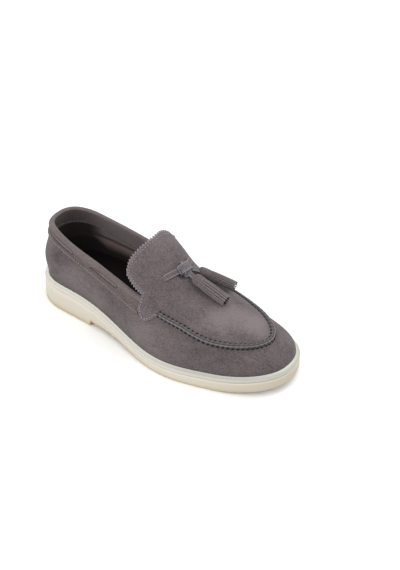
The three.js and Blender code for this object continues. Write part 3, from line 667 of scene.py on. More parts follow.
def shoe_to_frame(last):
    """Where the shoe's own zero lies in the row frame, in metres, from the outsole's box."""
    low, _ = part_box("outsole")
    turns = np.linspace(0, 1, 2000)
    edge = last.footprint(turns) + last.footprint_out(turns) * last.rim
    return np.array([low.x - edge[:, 0].min() * METRE, low.y - edge[:, 1].min() * METRE, 0])


def linked(name, data):
    """New object of the scene that shows the data."""
    thing = bpy.data.objects.new(name, data)
    bpy.context.scene.collection.objects.link(thing)
    return thing


def store_marks(mesh, marks):
    """Stores named shares, one for each point of the mesh."""
    for mark, values in marks.items():
        layer = mesh.attributes.new(mark, "FLOAT", "POINT")
        layer.data.foreach_set("value", np.asarray(values, np.float32).ravel())


def raw_mesh(name, parts, last, marks=None):
    """Mesh in metres in the row frame from (points, faces) parts in the shoe's millimetres."""
    points, faces = [], []
    for part_points, part_faces in parts:
        start = sum(len(p) for p in points)
        points.append(np.asarray(part_points, float))
        faces.extend([[i + start for i in face] for face in part_faces])
    mesh = bpy.data.meshes.new(name)
    placed = np.concatenate(points) * METRE + shoe_to_frame(last)
    mesh.from_pydata(placed.tolist(), [], faces)
    store_marks(mesh, marks or {})
    return mesh


def tidy_mesh(mesh, crisp=38):
    """Merges doubles, turns faces outwards and shades smooth up to a crisp angle in degrees."""
    work = bmesh.new()
    work.from_mesh(mesh)
    bmesh.ops.remove_doubles(work, verts=work.verts, dist=3e-6)
    bmesh.ops.dissolve_degenerate(work, edges=work.edges, dist=1e-6)
    bmesh.ops.recalc_face_normals(work, faces=work.faces)
    work.to_mesh(mesh)
    work.free()
    mesh.polygons.foreach_set("use_smooth", [True] * len(mesh.polygons))
    mesh.set_sharp_from_angle(angle=math.radians(crisp))


def lofted_mesh(name, sections, crisp, marks=None):
    """Small mesh in metres round its own zero, through closed sections in millimetres."""
    points, faces = loft(sections)
    mesh = bpy.data.meshes.new(name)
    mesh.from_pydata((points * METRE).tolist(), [], faces)
    store_marks(mesh, marks or {})
    tidy_mesh(mesh, crisp)
    return mesh


def add_piece(name, mesh, finish, slot, replaced=()):
    """Puts a finished mesh on the shoe's body with its material, and hides the nodes that it stands for."""
    mesh.materials.clear()
    mesh.materials.append(finish)
    piece = linked(name, mesh)
    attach(piece, BODY)
    if replaced:
        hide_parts(*replaced)
    return piece


def build_piece(name, parts, last, finish, slot, replaced=(), marks=None, crisp=38):
    mesh = raw_mesh(name, parts, last, marks)
    tidy_mesh(mesh, crisp)
    return add_piece(name, mesh, finish, slot, replaced)


# Materials

class Value:
    """Number that varies over a surface; arithmetic on it adds Math nodes."""

    def __init__(self, finish, output):
        self.finish = finish
        self.output = output

    def _math(self, operation, first, second=None):
        sockets = {0: first} if second is None else {0: first, 1: second}
        return self.finish.node("ShaderNodeMath", {"operation": operation}, sockets)["Value"]

    def __add__(self, other):
        return self._math("ADD", self, other)

    def __radd__(self, other):
        return self._math("ADD", other, self)

    def __sub__(self, other):
        return self._math("SUBTRACT", self, other)

    def __rsub__(self, other):
        return self._math("SUBTRACT", other, self)

    def __mul__(self, other):
        return self._math("MULTIPLY", self, other)

    def __rmul__(self, other):
        return self._math("MULTIPLY", other, self)

    def __truediv__(self, other):
        return self._math("DIVIDE", self, other)

    def clamped(self):
        return self._math("MINIMUM", self._math("MAXIMUM", self, 0.0), 1.0)


class Made:
    """Node that has been added; its outputs are read by name."""

    def __init__(self, finish, node):
        self.finish = finish
        self.node = node

    def __getitem__(self, name):
        return Value(self.finish, self.node.outputs[name])


CONSTANTS = {
    "sheen_weight": "Sheen Weight",
    "sheen_roughness": "Sheen Roughness",
    "specular_level": "Specular IOR Level",
}


class Finish:
    """Material under construction."""

    def __init__(self, name):
        self.material = bpy.data.materials.new(name)
        self.material.use_nodes = True
        self.tree = self.material.node_tree
        self.surface = self.tree.nodes["Principled BSDF"]
        self.place = self.node("ShaderNodeTexCoord")["Object"]

    def node(self, kind, settings=None, sockets=None):
        """Adds a node: settings first, then the values or links of its sockets."""
        node = self.tree.nodes.new(kind)
        for name, value in (settings or {}).items():
            if name == "stops":
                self._set_stops(node.color_ramp, value)
            else:
                setattr(node, name, value)
        for name, value in (sockets or {}).items():
            if isinstance(value, Value):
                self.tree.links.new(value.output, node.inputs[name])
            else:
                node.inputs[name].default_value = value
        return Made(self, node)

    @staticmethod
    def _set_stops(ramp, stops):
        while len(ramp.elements) < len(stops):
            ramp.elements.new(0.5)
        for element, (position, shade) in zip(ramp.elements, stops):
            element.position = position
            element.color = shade

    def ramp(self, value, *stops):
        """Smooth step of a number through (position, height) stops."""
        shades = [(position, (height, height, height, 1)) for position, height in stops]
        made = self.node("ShaderNodeValToRGB", {"stops": shades}, {"Fac": value})
        return made["Color"]

    def noise(self, size, detail=2.0, rough=0.5, warp=0.0, place=None):
        """Noise whose grains are about size metres across."""
        sockets = {
            "Vector": place or self.place,
            "Scale": 1 / size,
            "Detail": detail,
            "Roughness": rough,
            "Distortion": warp,
        }
        return self.node("ShaderNodeTexNoise", {"noise_dimensions": "3D"}, sockets)["Fac"]

    def blend(self, share, first, second):
        """Mix of two colours."""
        settings = {"data_type": "RGBA", "clamp_factor": True}
        node = self.node("ShaderNodeMix", settings, {0: share, 6: first, 7: second})
        return Value(self, node.node.outputs[2])

    def stretched(self, x, y, z):
        """Object coordinates with each axis scaled."""
        made = self.node("ShaderNodeMapping", None, {"Vector": self.place, "Scale": (x, y, z)})
        return made["Vector"]

    def patch(self, centre, radius):
        """1 at a place on the shoe, easing to 0 at the radius."""
        away = self.node(
            "ShaderNodeVectorMath", {"operation": "DISTANCE"}, {0: self.place, 1: centre}
        )["Value"]
        share = (1.0 - away / radius).clamped()
        return share * share * (3.0 - 2.0 * share)

    def mark(self, name):
        """A named share stored on the mesh."""
        settings = {"attribute_type": "GEOMETRY", "attribute_name": name}
        return self.node("ShaderNodeAttribute", settings)["Fac"]

    def bump(self, height, depth, strength=1.0, under=None):
        sockets = {"Height": height, "Distance": depth, "Strength": strength}
        if under is not None:
            sockets["Normal"] = under
        return self.node("ShaderNodeBump", None, sockets)["Normal"]

    def finish(self, colour, roughness, normal=None, **constants):
        varying = {"Base Color": colour, "Roughness": roughness, "Normal": normal}
        for name, value in varying.items():
            if isinstance(value, Value):
                self.tree.links.new(value.output, self.surface.inputs[name])
            elif value is not None:
                self.surface.inputs[name].default_value = value
        for name, value in constants.items():
            self.surface.inputs[CONSTANTS[name]].default_value = value
        return self.material


def shade(colour, factor):
    return tuple(min(c * factor, 1) for c in colour[:3]) + (1,)


def tinted(colour, red, green, blue):
    return (colour[0] * red, colour[1] * green, colour[2] * blue, 1)


def suede(name, colour, patches=(), cloud=0.75, warmth=0.0):
    """Brushed suede: cloudy nap, fine fibres, placed lighter and darker patches, some of them painted
    shadows, paler cut edges with painted light, and painted shade where marked.
    """
    look = Finish(name)
    fibre = look.noise(0.0009, 3, 0.65, place=look.stretched(1, 1, 0.6))
    grain = look.noise(0.0017, 2, 0.6)
    tuft = look.noise(0.0042, 2, 0.55, 0.3, look.stretched(0.6, 1, 1))
    brushed = look.noise(0.014, 3, 0.5, 1.2, look.stretched(0.6, 1, 1.3))
    clouds = look.noise(0.038, 2, 0.5, 0.5)
    nap = (fibre - 0.5) * 1.25 + (grain - 0.5) * 0.9 + (tuft - 0.5) * 0.2
    nap = nap + (brushed - 0.5) * 0.42 + (clouds - 0.5) * cloud * 0.7
    for centre, radius, strength in patches:
        nap = nap + look.patch(centre, radius) * (0.73 * strength)
    share = (nap + 0.5).clamped()
    tint = look.ramp(look.noise(0.026, 1, 0.5), (0.35, 0), (0.7, 1))
    warm = tinted(colour, 1.06, 0.97, 0.94)
    cool = tinted(colour, 1, 1.08, 1.12)
    base = look.blend(share, shade(colour, NAP_DARK), shade(colour, NAP_LIGHT))
    warm_base = look.blend(share, shade(warm, NAP_DARK), shade(warm, NAP_LIGHT))
    base = look.blend(tint * (0.35 + warmth), base, warm_base)
    # Pale cut edges, and painted light and highlights, where marked.
    base = look.blend(look.mark("cut_edge") * 0.8, base, shade(cool, CUT_EDGE_AND_LIGHT_TONE))
    # Painted shade where marked.
    base = look.blend(look.mark("shadowed"), base, shade(colour, PAINTED_SHADE_TONE))
    fibres = look.bump(fibre, 0.00022, 0.55)
    brushed_bump = look.bump(grain + brushed * 1.5, 0.0004, 0.5, fibres)
    return look.finish(
        base, 0.94, brushed_bump, sheen_weight=0.12, sheen_roughness=0.55, specular_level=0.08
    )


def rubber(name, colour, stain, shade_patches=(), tread=False):
    """Matt moulded rubber with a faint mould texture, a slightly stained lower edge, patches of painted
    shade, painted light on the ledge and painted shade on its rim.
    """
    look = Finish(name)
    speckle = look.noise(0.0016, 3, 0.6)
    cloud = look.noise(0.03, 2, 0.5)
    base = look.blend((cloud - 0.35).clamped() * 0.5, colour, shade(colour, CLOUD_TONE))
    base = look.blend(look.mark("floor_edge"), base, stain)
    # Patches of painted shade, such as near the toe.
    for centre, radius, tone in shade_patches:
        base = look.blend(look.patch(centre, radius), base, tone)
    # Painted light on the ledge and painted shade on its rim, where marked.
    base = look.blend(look.mark("ledge"), base, shade(colour, LEDGE_LIGHT_TONE))
    base = look.blend(look.mark("dull"), base, shade(colour, RIM_SHADE_TONE))
    height = speckle
    if tread:
        ribs = look.node(
            "ShaderNodeTexWave",
            {"wave_type": "BANDS", "bands_direction": "X", "wave_profile": "SIN"},
            {"Vector": look.place, "Scale": 60.0, "Distortion": 2.2, "Detail": 0.0},
        )["Fac"]
        height = height + ribs * look.mark("tread") * 9.0
    relief = look.bump(height, 0.0003, 0.35)
    return look.finish(base, 0.55 + speckle * 0.12, relief, specular_level=0.35)


def lining_suede(name, colour):
    """Napped lining, browner and darker the deeper it lies in the shoe: the darkening is painted shade."""
    look = Finish(name)
    grain = look.noise(0.0015, 3, 0.6)
    cloud = look.noise(0.02, 2, 0.5)
    share = (0.25 + grain * 0.3 + cloud * 0.4).clamped()
    base = look.blend(share, shade(colour, 0.7), shade(colour, 1.25))
    base = look.blend(look.mark("shadowed"), base, shade(colour, 0.05))
    return look.finish(base, 0.9, look.bump(grain, 0.0003, 0.5), specular_level=0.15, sheen_weight=0.1)


def smooth_leather(name, colour):
    look = Finish(name)
    pebble = look.node(
        "ShaderNodeTexVoronoi", {"feature": "DISTANCE_TO_EDGE"}, {"Vector": look.place, "Scale": 700.0}
    )["Distance"]
    cloud = look.noise(0.025, 3, 0.5)
    base = look.blend(cloud, shade(colour, 0.8), shade(colour, 1.3))
    return look.finish(base, 0.7 + cloud * 0.2, look.bump(pebble, 0.0002, 0.4), specular_level=0.1)


def sewing_thread(name, colour):
    look = Finish(name)
    twist = look.node(
        "ShaderNodeTexWave",
        {"wave_type": "BANDS", "bands_direction": "DIAGONAL"},
        {"Vector": look.place, "Scale": 900.0, "Distortion": 0.5},
    )["Fac"]
    base = look.blend(twist, shade(colour, 0.75), colour)
    return look.finish(base, 0.7, look.bump(twist, 0.00012, 0.5), sheen_weight=0.2)


# Near-black finish of the beads that paint the shade in the seam's holes.
def hole_shade(name, colour):
    look = Finish(name)
    grain = look.noise(0.0006)
    return look.finish(look.blend(grain, shade(colour, 0.6), colour), 0.95, specular_level=0.05)


# Rows of like things, by geometry nodes

def new_tree(name, inputs):
    """Empty geometry tree with named inputs (name, socket kind, default)."""
    tree = bpy.data.node_groups.new(name, "GeometryNodeTree")
    tree.interface.new_socket("Geometry", in_out="INPUT", socket_type="NodeSocketGeometry")
    for label, kind, default in inputs:
        socket = tree.interface.new_socket(label, in_out="INPUT", socket_type=kind)
        if default is not None:
            socket.default_value = default
    tree.interface.new_socket("Geometry", in_out="OUTPUT", socket_type="NodeSocketGeometry")
    return tree


def tree_node(tree, kind, settings=None, sockets=None):
    node = tree.nodes.new(kind)
    for name, value in (settings or {}).items():
        setattr(node, name, value)
    for name, value in (sockets or {}).items():
        if isinstance(value, bpy.types.NodeSocket):
            tree.links.new(value, node.inputs[name])
        else:
            node.inputs[name].default_value = value
    return node


def tree_math(tree, operation, *numbers):
    return tree_node(tree, "ShaderNodeMath", {"operation": operation}, dict(enumerate(numbers))).outputs[0]


def grow_things(tree, given, places, turn, stretch):
    """Ends a tree: the given thing at each place, made real and dressed in its material."""
    scale = tree_node(tree, "ShaderNodeCombineXYZ", None, {"X": stretch, "Y": 1.0, "Z": 1.0})
    thing = tree_node(tree, "GeometryNodeObjectInfo", None, {"Object": given["Thing"], "As Instance": True})
    placed = tree_node(
        tree, "GeometryNodeInstanceOnPoints", None,
        {
            "Points": places,
            "Instance": thing.outputs["Geometry"],
            "Rotation": turn,
            "Scale": scale.outputs[0],
        },
    )
    real = tree_node(tree, "GeometryNodeRealizeInstances", None, {"Geometry": placed.outputs["Instances"]})
    dressed = tree_node(
        tree, "GeometryNodeSetMaterial", None,
        {"Geometry": real.outputs["Geometry"], "Material": given["Finish"]},
    )
    tree_node(tree, "NodeGroupOutput", None, {"Geometry": dressed.outputs["Geometry"]})
    return tree


def row_tree():
    """Things set at an even pitch along a line, upright on the surface that the line runs over."""
    tree = bpy.data.node_groups.get("row_along_line")
    if tree:
        return tree
    tree = new_tree(
        "row_along_line",
        [
            ("Pitch", "NodeSocketFloat", 0.003),
            ("Thing", "NodeSocketObject", None),
            ("Finish", "NodeSocketMaterial", None),
            ("Sway", "NodeSocketFloat", 0.1),
            ("Seed", "NodeSocketInt", 1),
        ],
    )
    given = tree_node(tree, "NodeGroupInput").outputs
    line = tree_node(tree, "GeometryNodeMeshToCurve", None, {"Mesh": given["Geometry"]})
    even = tree_node(
        tree, "GeometryNodeResampleCurve", {"mode": "LENGTH"},
        {"Curve": line.outputs["Curve"], "Length": given["Pitch"]},
    )
    out = tree_node(tree, "GeometryNodeInputNamedAttribute", {"data_type": "FLOAT_VECTOR"}, {"Name": "out"})
    tangent = tree_node(tree, "GeometryNodeInputTangent")
    along = tree_node(
        tree, "FunctionNodeAlignRotationToVector", {"axis": "X"}, {"Vector": tangent.outputs[0]}
    )
    upright = tree_node(
        tree, "FunctionNodeAlignRotationToVector", {"axis": "Z", "pivot_axis": "X"},
        {"Rotation": along.outputs[0], "Vector": out.outputs["Attribute"]},
    )
    chance = tree_node(tree, "FunctionNodeRandomValue", {"data_type": "FLOAT"}, {"Seed": given["Seed"]})
    spread = tree_math(tree, "MULTIPLY_ADD", chance.outputs[1], given["Sway"], 1.0)
    return grow_things(tree, given, even.outputs["Curve"], upright.outputs[0], spread)


def fringe_tree():
    """A thing repeated round the X axis, each copy of slightly different length."""
    tree = bpy.data.node_groups.get("fringe_round_axis")
    if tree:
        return tree
    tree = new_tree(
        "fringe_round_axis",
        [
            ("Count", "NodeSocketInt", 15),
            ("Thing", "NodeSocketObject", None),
            ("Finish", "NodeSocketMaterial", None),
            ("Uneven", "NodeSocketFloat", 0.03),
            ("Seed", "NodeSocketInt", 1),
        ],
    )
    given = tree_node(tree, "NodeGroupInput").outputs
    points = tree_node(tree, "GeometryNodePoints", None, {"Count": given["Count"]})
    index = tree_node(tree, "GeometryNodeInputIndex")
    share = tree_math(tree, "DIVIDE", index.outputs[0], given["Count"])
    angle = tree_math(tree, "MULTIPLY", share, 2 * math.pi)
    turn = tree_node(tree, "ShaderNodeCombineXYZ", None, {"X": angle, "Y": 0.0, "Z": 0.0})
    chance = tree_node(
        tree, "FunctionNodeRandomValue", {"data_type": "FLOAT"}, {"Seed": given["Seed"], 2: 0.0, 3: 1.0}
    )
    shorter = tree_math(tree, "MULTIPLY", chance.outputs[1], given["Uneven"])
    stretch = tree_math(tree, "SUBTRACT", 1.0, shorter)
    return grow_things(tree, given, points.outputs["Points"], turn.outputs[0], stretch)


def set_inputs(modifier, values):
    """Sets a geometry modifier's inputs by their sockets' identifiers."""
    for item in modifier.node_group.interface.items_tree:
        if item.item_type == "SOCKET" and item.in_out == "INPUT" and item.name in values:
            modifier[item.identifier] = values[item.name]


def grown_mesh(name, mesh, tree, values):
    """Plain mesh that a geometry tree makes out of a starting mesh."""
    start = linked(name + "_start", mesh)
    modifier = start.modifiers.new("grow", "NODES")
    modifier.node_group = tree
    set_inputs(modifier, values)
    depsgraph = bpy.context.evaluated_depsgraph_get()
    depsgraph.update()
    grown = bpy.data.meshes.new_from_object(start.evaluated_get(depsgraph))
    grown.name = name
    start.modifiers.remove(modifier)
    bpy.data.objects.remove(start)
    if not len(grown.polygons):
        raise RuntimeError(f"{name}: the tree made no faces")
    return grown


def line_mesh(name, points, outs, last):
    """Open line over a surface, with the surface's outward direction stored at each point."""
    mesh = bpy.data.meshes.new(name)
    placed = np.asarray(points) * METRE + shoe_to_frame(last)
    mesh.from_pydata(placed.tolist(), [(i, i + 1) for i in range(len(placed) - 1)], [])
    layer = mesh.attributes.new("out", "FLOAT_VECTOR", "POINT")
    layer.data.foreach_set("vector", np.asarray(outs, np.float32).ravel())
    return mesh


def bead_object(name, length, width, height, sides=8, rings=5):
    """Small rounded bar along X that sits on the origin's plane: one stitch, or one dark bead that paints
    the shade in a hole.
    """
    angles = np.linspace(-np.pi / 2, np.pi / 2, rings + 2)
    around = np.linspace(0, 2 * np.pi, sides, endpoint=False)
    sections = np.array([
        [
            (
                length / 2 * math.sin(angle),
                width / 2 * max(math.cos(angle), 0.25) * math.cos(turn),
                height * max(math.cos(angle), 0.25) * math.sin(turn),
            )
            for turn in around
        ]
        for angle in angles
    ])
    return linked(name, lofted_mesh(name, sections, 80))


def add_row(name, points, outs, last, pitch, bead, finish, slot, sway=0.1, seed=1):
    """Row of beads along a line, as one plain mesh."""
    values = {"Pitch": pitch * METRE, "Thing": bead, "Finish": finish, "Sway": sway, "Seed": seed}
    mesh = grown_mesh(name, line_mesh(name, points, outs, last), row_tree(), values)
    mesh.polygons.foreach_set("use_smooth", [True] * len(mesh.polygons))
    return add_piece(name, mesh, finish, slot)


# Shapes of the shoe's pieces

def sole_stations(last, steps):
    stations = last.length * (1 - np.cos(np.pi * np.arange(steps + 1) / steps)) / 2
    foot = BREAST_AT * last.length - 0.01
    roof = BREAST_AT * last.length + 1.2
    clear = stations[(np.abs(stations - roof) > 1.4) & (np.abs(stations - foot) > 1.4)]
    return np.sort(np.append(clear, [foot, roof]))


def outline(last, stations, outset, height):
    """Outline at an outset from the feather line, outer side first. height takes own x and station."""
    turns = last.turn_at(-1, stations)
    turns = np.concatenate([turns, 1 - turns[1:-1][::-1]])
    origin = np.concatenate([stations, stations[1:-1][::-1]])
    ring = last.footprint(turns) + last.footprint_out(turns) * outset
    ring[:, 2] = height(ring[:, 0], origin)
    return ring


def first_rings(rings, *shares):
    """Mark with the given shares on the first rings and 0 on the others."""
    mark = np.zeros(rings.shape[:2])
    mark[: len(shares)] = np.array(shares)[:, None]
    return mark


def last_rings(rings, *shares):
    return first_rings(rings, *reversed(shares))[::-1]


def dent_field(x, across, rows, last):
    """Depth of the soft dents at places given along the length and across it."""
    depth = np.zeros(np.broadcast_shapes(np.shape(x), np.shape(across)))
    for at, middle, long, wide, deep, turn in rows:
        lean = math.radians(turn)
        away_x, away_y = x - at * last.length, across - middle
        u = away_x * math.sin(lean) + away_y * math.cos(lean)
        v = away_x * math.cos(lean) - away_y * math.sin(lean)
        fold = (v / wide) ** 2
        depth += deep * np.exp(-((u / long) ** 2) - fold) * (1 - 0.8 * fold)
    return depth


def wall_dents(points, last):
    depth = np.zeros(points.shape[:-1])
    height = points[..., 2] - last.seat_height(points[..., 0])
    for side in (-1, 1):
        rows = [(at, up, *rest) for at, where, up, *rest in WALL_DENTS if where == side]
        weight = ease(side * points[..., 1], 2, 14)
        depth += weight * dent_field(points[..., 0], height, rows, last)
    return depth


def upper_parts(last, ribs=420, levels=44):
    """Wall from the margin under the foot up to the top line and the moccasin seam."""
    turns = np.arange(ribs) / ribs
    lines = Ribs(last, turns, last.edge_climb(turns))
    shares = np.linspace(0, 1, levels)
    outer = lines.at(lines.length[:, None] * shares)
    normals = grid_normals(outer, ring=True)
    fade = ease(shares, 0, 0.12) * (1 - ease(shares, 0.86, 1))
    outer = outer - normals * (wall_dents(outer, last) * fade)[..., None]
    inner = outer[:, 1:] - normals[:, 1:] * last.wall
    inner[:, 0, 2] = last.seat_height(inner[:, 0, 0]) + last.wall
    inward = -last.footprint_out(turns)
    seat = outer[:, 0] + inward * SEAT_INSET
    low = outer[:, 0] + inward * (last.wall + MARGIN)
    seat[:, 2] = last.seat_height(seat[:, 0])
    low[:, 2] = last.seat_height(low[:, 0])
    high = low + [0, 0, last.wall]
    columns = [seat[:, None], outer[:, 1:], inner[:, ::-1], high[:, None], low[:, None]]
    return [loft(np.concatenate(columns, 1), ring=True)]


def lining_parts(last, ribs=280, levels=26):
    """Thin lining on the wall's inside, from the insole up under the facing, with painted shade: darker
    low down, under the apron, along a crease line and round the heel.
    """
    turns = np.arange(ribs) / ribs
    lines = Ribs(last, turns, last.edge_climb(turns))
    shares = np.linspace(0, 1, levels)
    climb = mix(LINING_FOOT, np.maximum(lines.length - LINING_END, 1)[:, None], shares)
    grid = lines.at(climb)
    normals = grid_normals(grid, ring=True)
    sag = wall_dents(grid, last)[..., None] * normals
    face = grid - normals * (last.wall + LINING_FACE) - sag
    back = grid - normals * (last.wall + LINING_BACK) - sag
    columns = np.concatenate([face, back[:, ::-1]], 1)
    x = face[..., 0]
    height = face[..., 2] - last.seat_height(x)
    # Painted shade of the shoe's inside: darker low down, under the apron, along a crease and round the heel.
    under = ease(x, 0.44 * last.length, 0.54 * last.length)
    down = lines.length[:, None] - climb - last.band_inside(x)
    crease = 0.9 * np.exp(-(((down - 14.6 + 0.142 * (x - 20)) / 1.9) ** 2)) * ease(x, 22, 40)
    around = np.minimum(turns, 1 - turns)[:, None]
    heel = 0.95 * (1 - ease(around, 0.085, 0.125))
    deep = np.clip(1 - ease(height, 8, 22) + under + crease + heel, 0, 1)
    return [loft(columns, ring=True)], np.concatenate([deep, deep[:, ::-1]], 1)


def apron_grid(last, tooth):
    """Plan of the apron: rows from the back of the tongue to the tip, columns evenly over the surface."""
    length = last.length
    fine_x = np.linspace(TONGUE_BACK_AT * length, WING_BACK_AT * length, 400)
    low, high = last.apron_edge(-1, fine_x), last.apron_edge(1, fine_x)
    side = place_on_apron(last, fine_x, low, low, high)
    walked = np.pad(np.cumsum(np.linalg.norm(np.diff(last.on_skin(*side, 0), axis=0), axis=1)), (1, 0))
    teeth = round(walked[-1] / tooth)
    tongue = np.interp(np.linspace(0, walked[-1], teeth * COLUMNS_PER_TOOTH + 1), walked, fine_x)
    wing = np.linspace(WING_BACK_AT, WING_FRONT_AT, 24)[1:] * length
    front = np.linspace(WING_FRONT_AT, APRON_ROUND_AT, 30)[1:] * length
    round_tip = np.sin(np.linspace(0, np.pi / 2, 57))[1:]
    tip = mix(APRON_ROUND_AT, APRON_TIP_AT, round_tip) * length
    stations = np.concatenate([tongue, wing, front, tip])
    back_edge = np.linspace(0, 1, 600)
    low0, high0 = last.apron_edge(-1, stations[0]), last.apron_edge(1, stations[0])
    rear = last.on_skin(*place_on_apron(last, stations[0], mix(low0, high0, back_edge), low0, high0), 0)
    width = np.linalg.norm(np.diff(rear, axis=0), axis=1).sum()
    columns = 2 * round(width / tooth / 2) * COLUMNS_PER_TOOTH
    rows = []
    for x in stations:
        inset = 0 if x < WING_FRONT_AT * length - 1 else last.gap
        middle = last.apron_middle(x)
        low = min(last.apron_edge(-1, x) + inset, middle)
        high = max(last.apron_edge(1, x) - inset, middle)
        y = mix(low, high, (1 - np.cos(np.linspace(0, np.pi, 200))) / 2)
        px, py = place_on_apron(last, x, y, low, high)
        run = np.linalg.norm(np.diff(last.on_skin(px, py, 0), axis=0), axis=1)
        walked = np.pad(np.cumsum(run), (1, 0))
        even = np.linspace(0, walked[-1], columns + 1)
        rows.append(np.stack([np.interp(even, walked, px), np.interp(even, walked, py)], -1))
    return stations, np.array(rows), len(tongue)


def place_on_apron(last, x, y, low, high):
    """The tongue's back edge bows forward in the middle and has rounded corners."""
    back, front = TONGUE_BACK_AT * last.length, WING_BACK_AT * last.length
    fade = np.clip((front - x) / (front - back), 0, 1)
    across = np.clip(2 * (y - low) / np.maximum(high - low, 1e-6) - 1, -1, 1)
    share = np.abs(across)
    bow = last.tongue_bow * (1 - share**2.1) + last.tongue_corner * ease(share, 0.8, 1) ** 2
    return x + (bow + last.tongue_turn * ease(across, 0.1, 0.8)) * fade, y


def pinked(plan, tongue_rows, last, depth):
    """Pushes the tongue's edge out into teeth."""
    phase = np.arange(max(plan.shape)) % COLUMNS_PER_TOOTH / COLUMNS_PER_TOOTH
    teeth = 1 - np.abs(phase * 2 - 1)
    plan = plan.copy()
    columns = plan.shape[1]

    def push(edge, inner, amount):
        outward = edge - inner
        x, y = edge[..., 0], edge[..., 1]
        normal = last.skin_normal(x, y)
        steep = np.abs(np.sum(unit(outward) * normal[..., :2], -1)) / np.maximum(normal[..., 2], 0.2)
        shorten = 1 / np.sqrt(1 + steep**2)
        return edge + unit(outward) * (amount * depth * shorten)[..., None]

    rows = np.arange(tongue_rows)
    for column, beside in ((0, 3), (columns - 1, columns - 4)):
        fade = 1 - ease(rows, tongue_rows - 4, tongue_rows - 1)
        plan[:tongue_rows, column] = push(
            plan[:tongue_rows, column], plan[:tongue_rows, beside], teeth[rows] * fade
        )
    middle = np.arange(1, columns - 1)
    plan[0, 1:-1] = push(plan[0, 1:-1], plan[3, 1:-1], teeth[middle])
    return plan


def gap_shade(x, y):
    """Shade on the apron in the gap between the tassels, wider towards their ends."""
    (start_x, start_y), (stop_x, stop_y) = TASSEL_GAP
    run_x, run_y = stop_x - start_x, stop_y - start_y
    share = np.clip(((x - start_x) * run_x + (y - start_y) * run_y) / (run_x**2 + run_y**2), 0, 1)
    away = np.hypot(x - start_x - share * run_x, y - start_y - share * run_y)
    return 0.85 * np.exp(-((away / (1.6 + 2.6 * share)) ** 2))


def apron_parts(last, tooth, depth):
    """Apron, tongue and wings in one sheet, with its pinked tongue edge."""
    stations, plan, tongue_rows = apron_grid(last, tooth)
    plan = pinked(plan, tongue_rows, last, depth)
    wing_columns = 12
    slack = 0.01
    on_wing = stations > WING_BACK_AT * last.length - slack
    on_wing &= stations < WING_FRONT_AT * last.length + slack
    grids = []
    for side, edge in ((-1, plan[:, 0]), (1, plan[:, -1])):
        foot = side * last.wing_share(stations) * last.half_width(side, stations)
        steps = np.linspace(0, 1, wing_columns + 1)[1:]
        y = mix(edge[:, 1][:, None], foot[:, None], steps)
        x = np.broadcast_to(stations[:, None], y.shape)
        grids.append(np.stack([x, y], -1))
    whole = np.concatenate([grids[0][:, ::-1], plan, grids[1]], 1)
    lift = last.apron_lift(stations)[:, None]
    x, y = whole[..., 0], whole[..., 1]
    dents = dent_field(x, y, APRON_DENTS, last)
    swell = 0.9 * ease(x, 0.64 * last.length, 0.74 * last.length)
    share = np.linspace(-1, 1, plan.shape[1])
    crown = np.pad(1 - share**4, wing_columns)
    rim = ease(APRON_TIP_AT * last.length - x, 0, 16)
    droop = ease(x, WING_BACK_AT * last.length, TONGUE_BACK_AT * last.length + 6)
    droop = 3.0 * droop * ease(np.pad(share, wing_columns, mode="edge"), 0.25, 1)
    shape = (swell * crown * rim) - dents * np.pad(1 - share**6, wing_columns) - droop
    front = last.on_skin(x, y, lift + shape)
    back = last.on_skin(x, y, lift - last.apron_thickness + np.minimum(shape, 0.0))
    main = np.zeros(whole.shape[1] - 1, bool)
    main[wing_columns:-wing_columns] = True
    wing_rows = on_wing[:-1] & on_wing[1:]
    present = main[None, :] | wing_rows[:, None]
    pale = np.zeros(whole.shape[:2])
    pale[0, wing_columns:-wing_columns] = 1
    pale[:tongue_rows, [wing_columns, -wing_columns - 1]] = 1
    wing_line = np.flatnonzero(on_wing)
    pale[wing_line, 0] = pale[wing_line, -1] = 0.5
    pale[wing_line[0], : wing_columns + 1] = pale[wing_line[0], -wing_columns - 1 :] = 0.5
    marks = {"cut_edge": pale, "shadowed": gap_shade(x, y)}
    return [sheet(front, back, present)], {name: np.tile(mark.ravel(), 2) for name, mark in marks.items()}


def inset_line(last, x, y, inset, lift):
    """Line on the skin moved to its left by an inset along the surface, with its normals."""
    line = last.on_skin(x, y, 0)
    normal = last.skin_normal(x, y)
    left = unit(np.cross(normal, np.gradient(line, axis=0)))
    moved = line + left * inset
    x, y = moved[:, 0], moved[:, 1]
    return last.on_skin(x, y, lift(x)), last.skin_normal(x, y)


def tongue_border(last):
    """Border of wing, tongue and wing in plan, from the outer seam end round to the inner one."""
    length = last.length
    wing = np.linspace(WING_FRONT_AT + 0.001, WING_BACK_AT, 60) * length
    side = np.linspace(WING_BACK_AT, TONGUE_BACK_AT, 60) * length

    def half(sign):
        foot = sign * last.wing_share(wing) * last.half_width(sign, wing)
        back = np.full(24, WING_BACK_AT * length)
        corner = last.apron_edge(sign, WING_BACK_AT * length)
        up = np.linspace(foot[-1], corner, 24)
        low, high = last.apron_edge(-1, side), last.apron_edge(1, side)
        edge_x, edge_y = place_on_apron(last, side, last.apron_edge(sign, side), low, high)
        return np.concatenate([wing, back[1:], edge_x[1:]]), np.concatenate([foot, up[1:], edge_y[1:]])

    lateral, medial = half(-1), half(1)
    x0 = TONGUE_BACK_AT * length
    low, high = last.apron_edge(-1, x0), last.apron_edge(1, x0)
    rear = place_on_apron(last, x0, np.linspace(low, high, 160), low, high)
    x = np.concatenate([lateral[0], rear[0][1:-1], medial[0][::-1]])
    y = np.concatenate([lateral[1], rear[1][1:-1], medial[1][::-1]])
    return x, y


def smoothed(values, rounds):
    """Open line with its corners eased."""
    values = values.copy()
    for _ in range(rounds):
        values[1:-1] = (values[:-2] + 2 * values[1:-1] + values[2:]) / 4
    return values


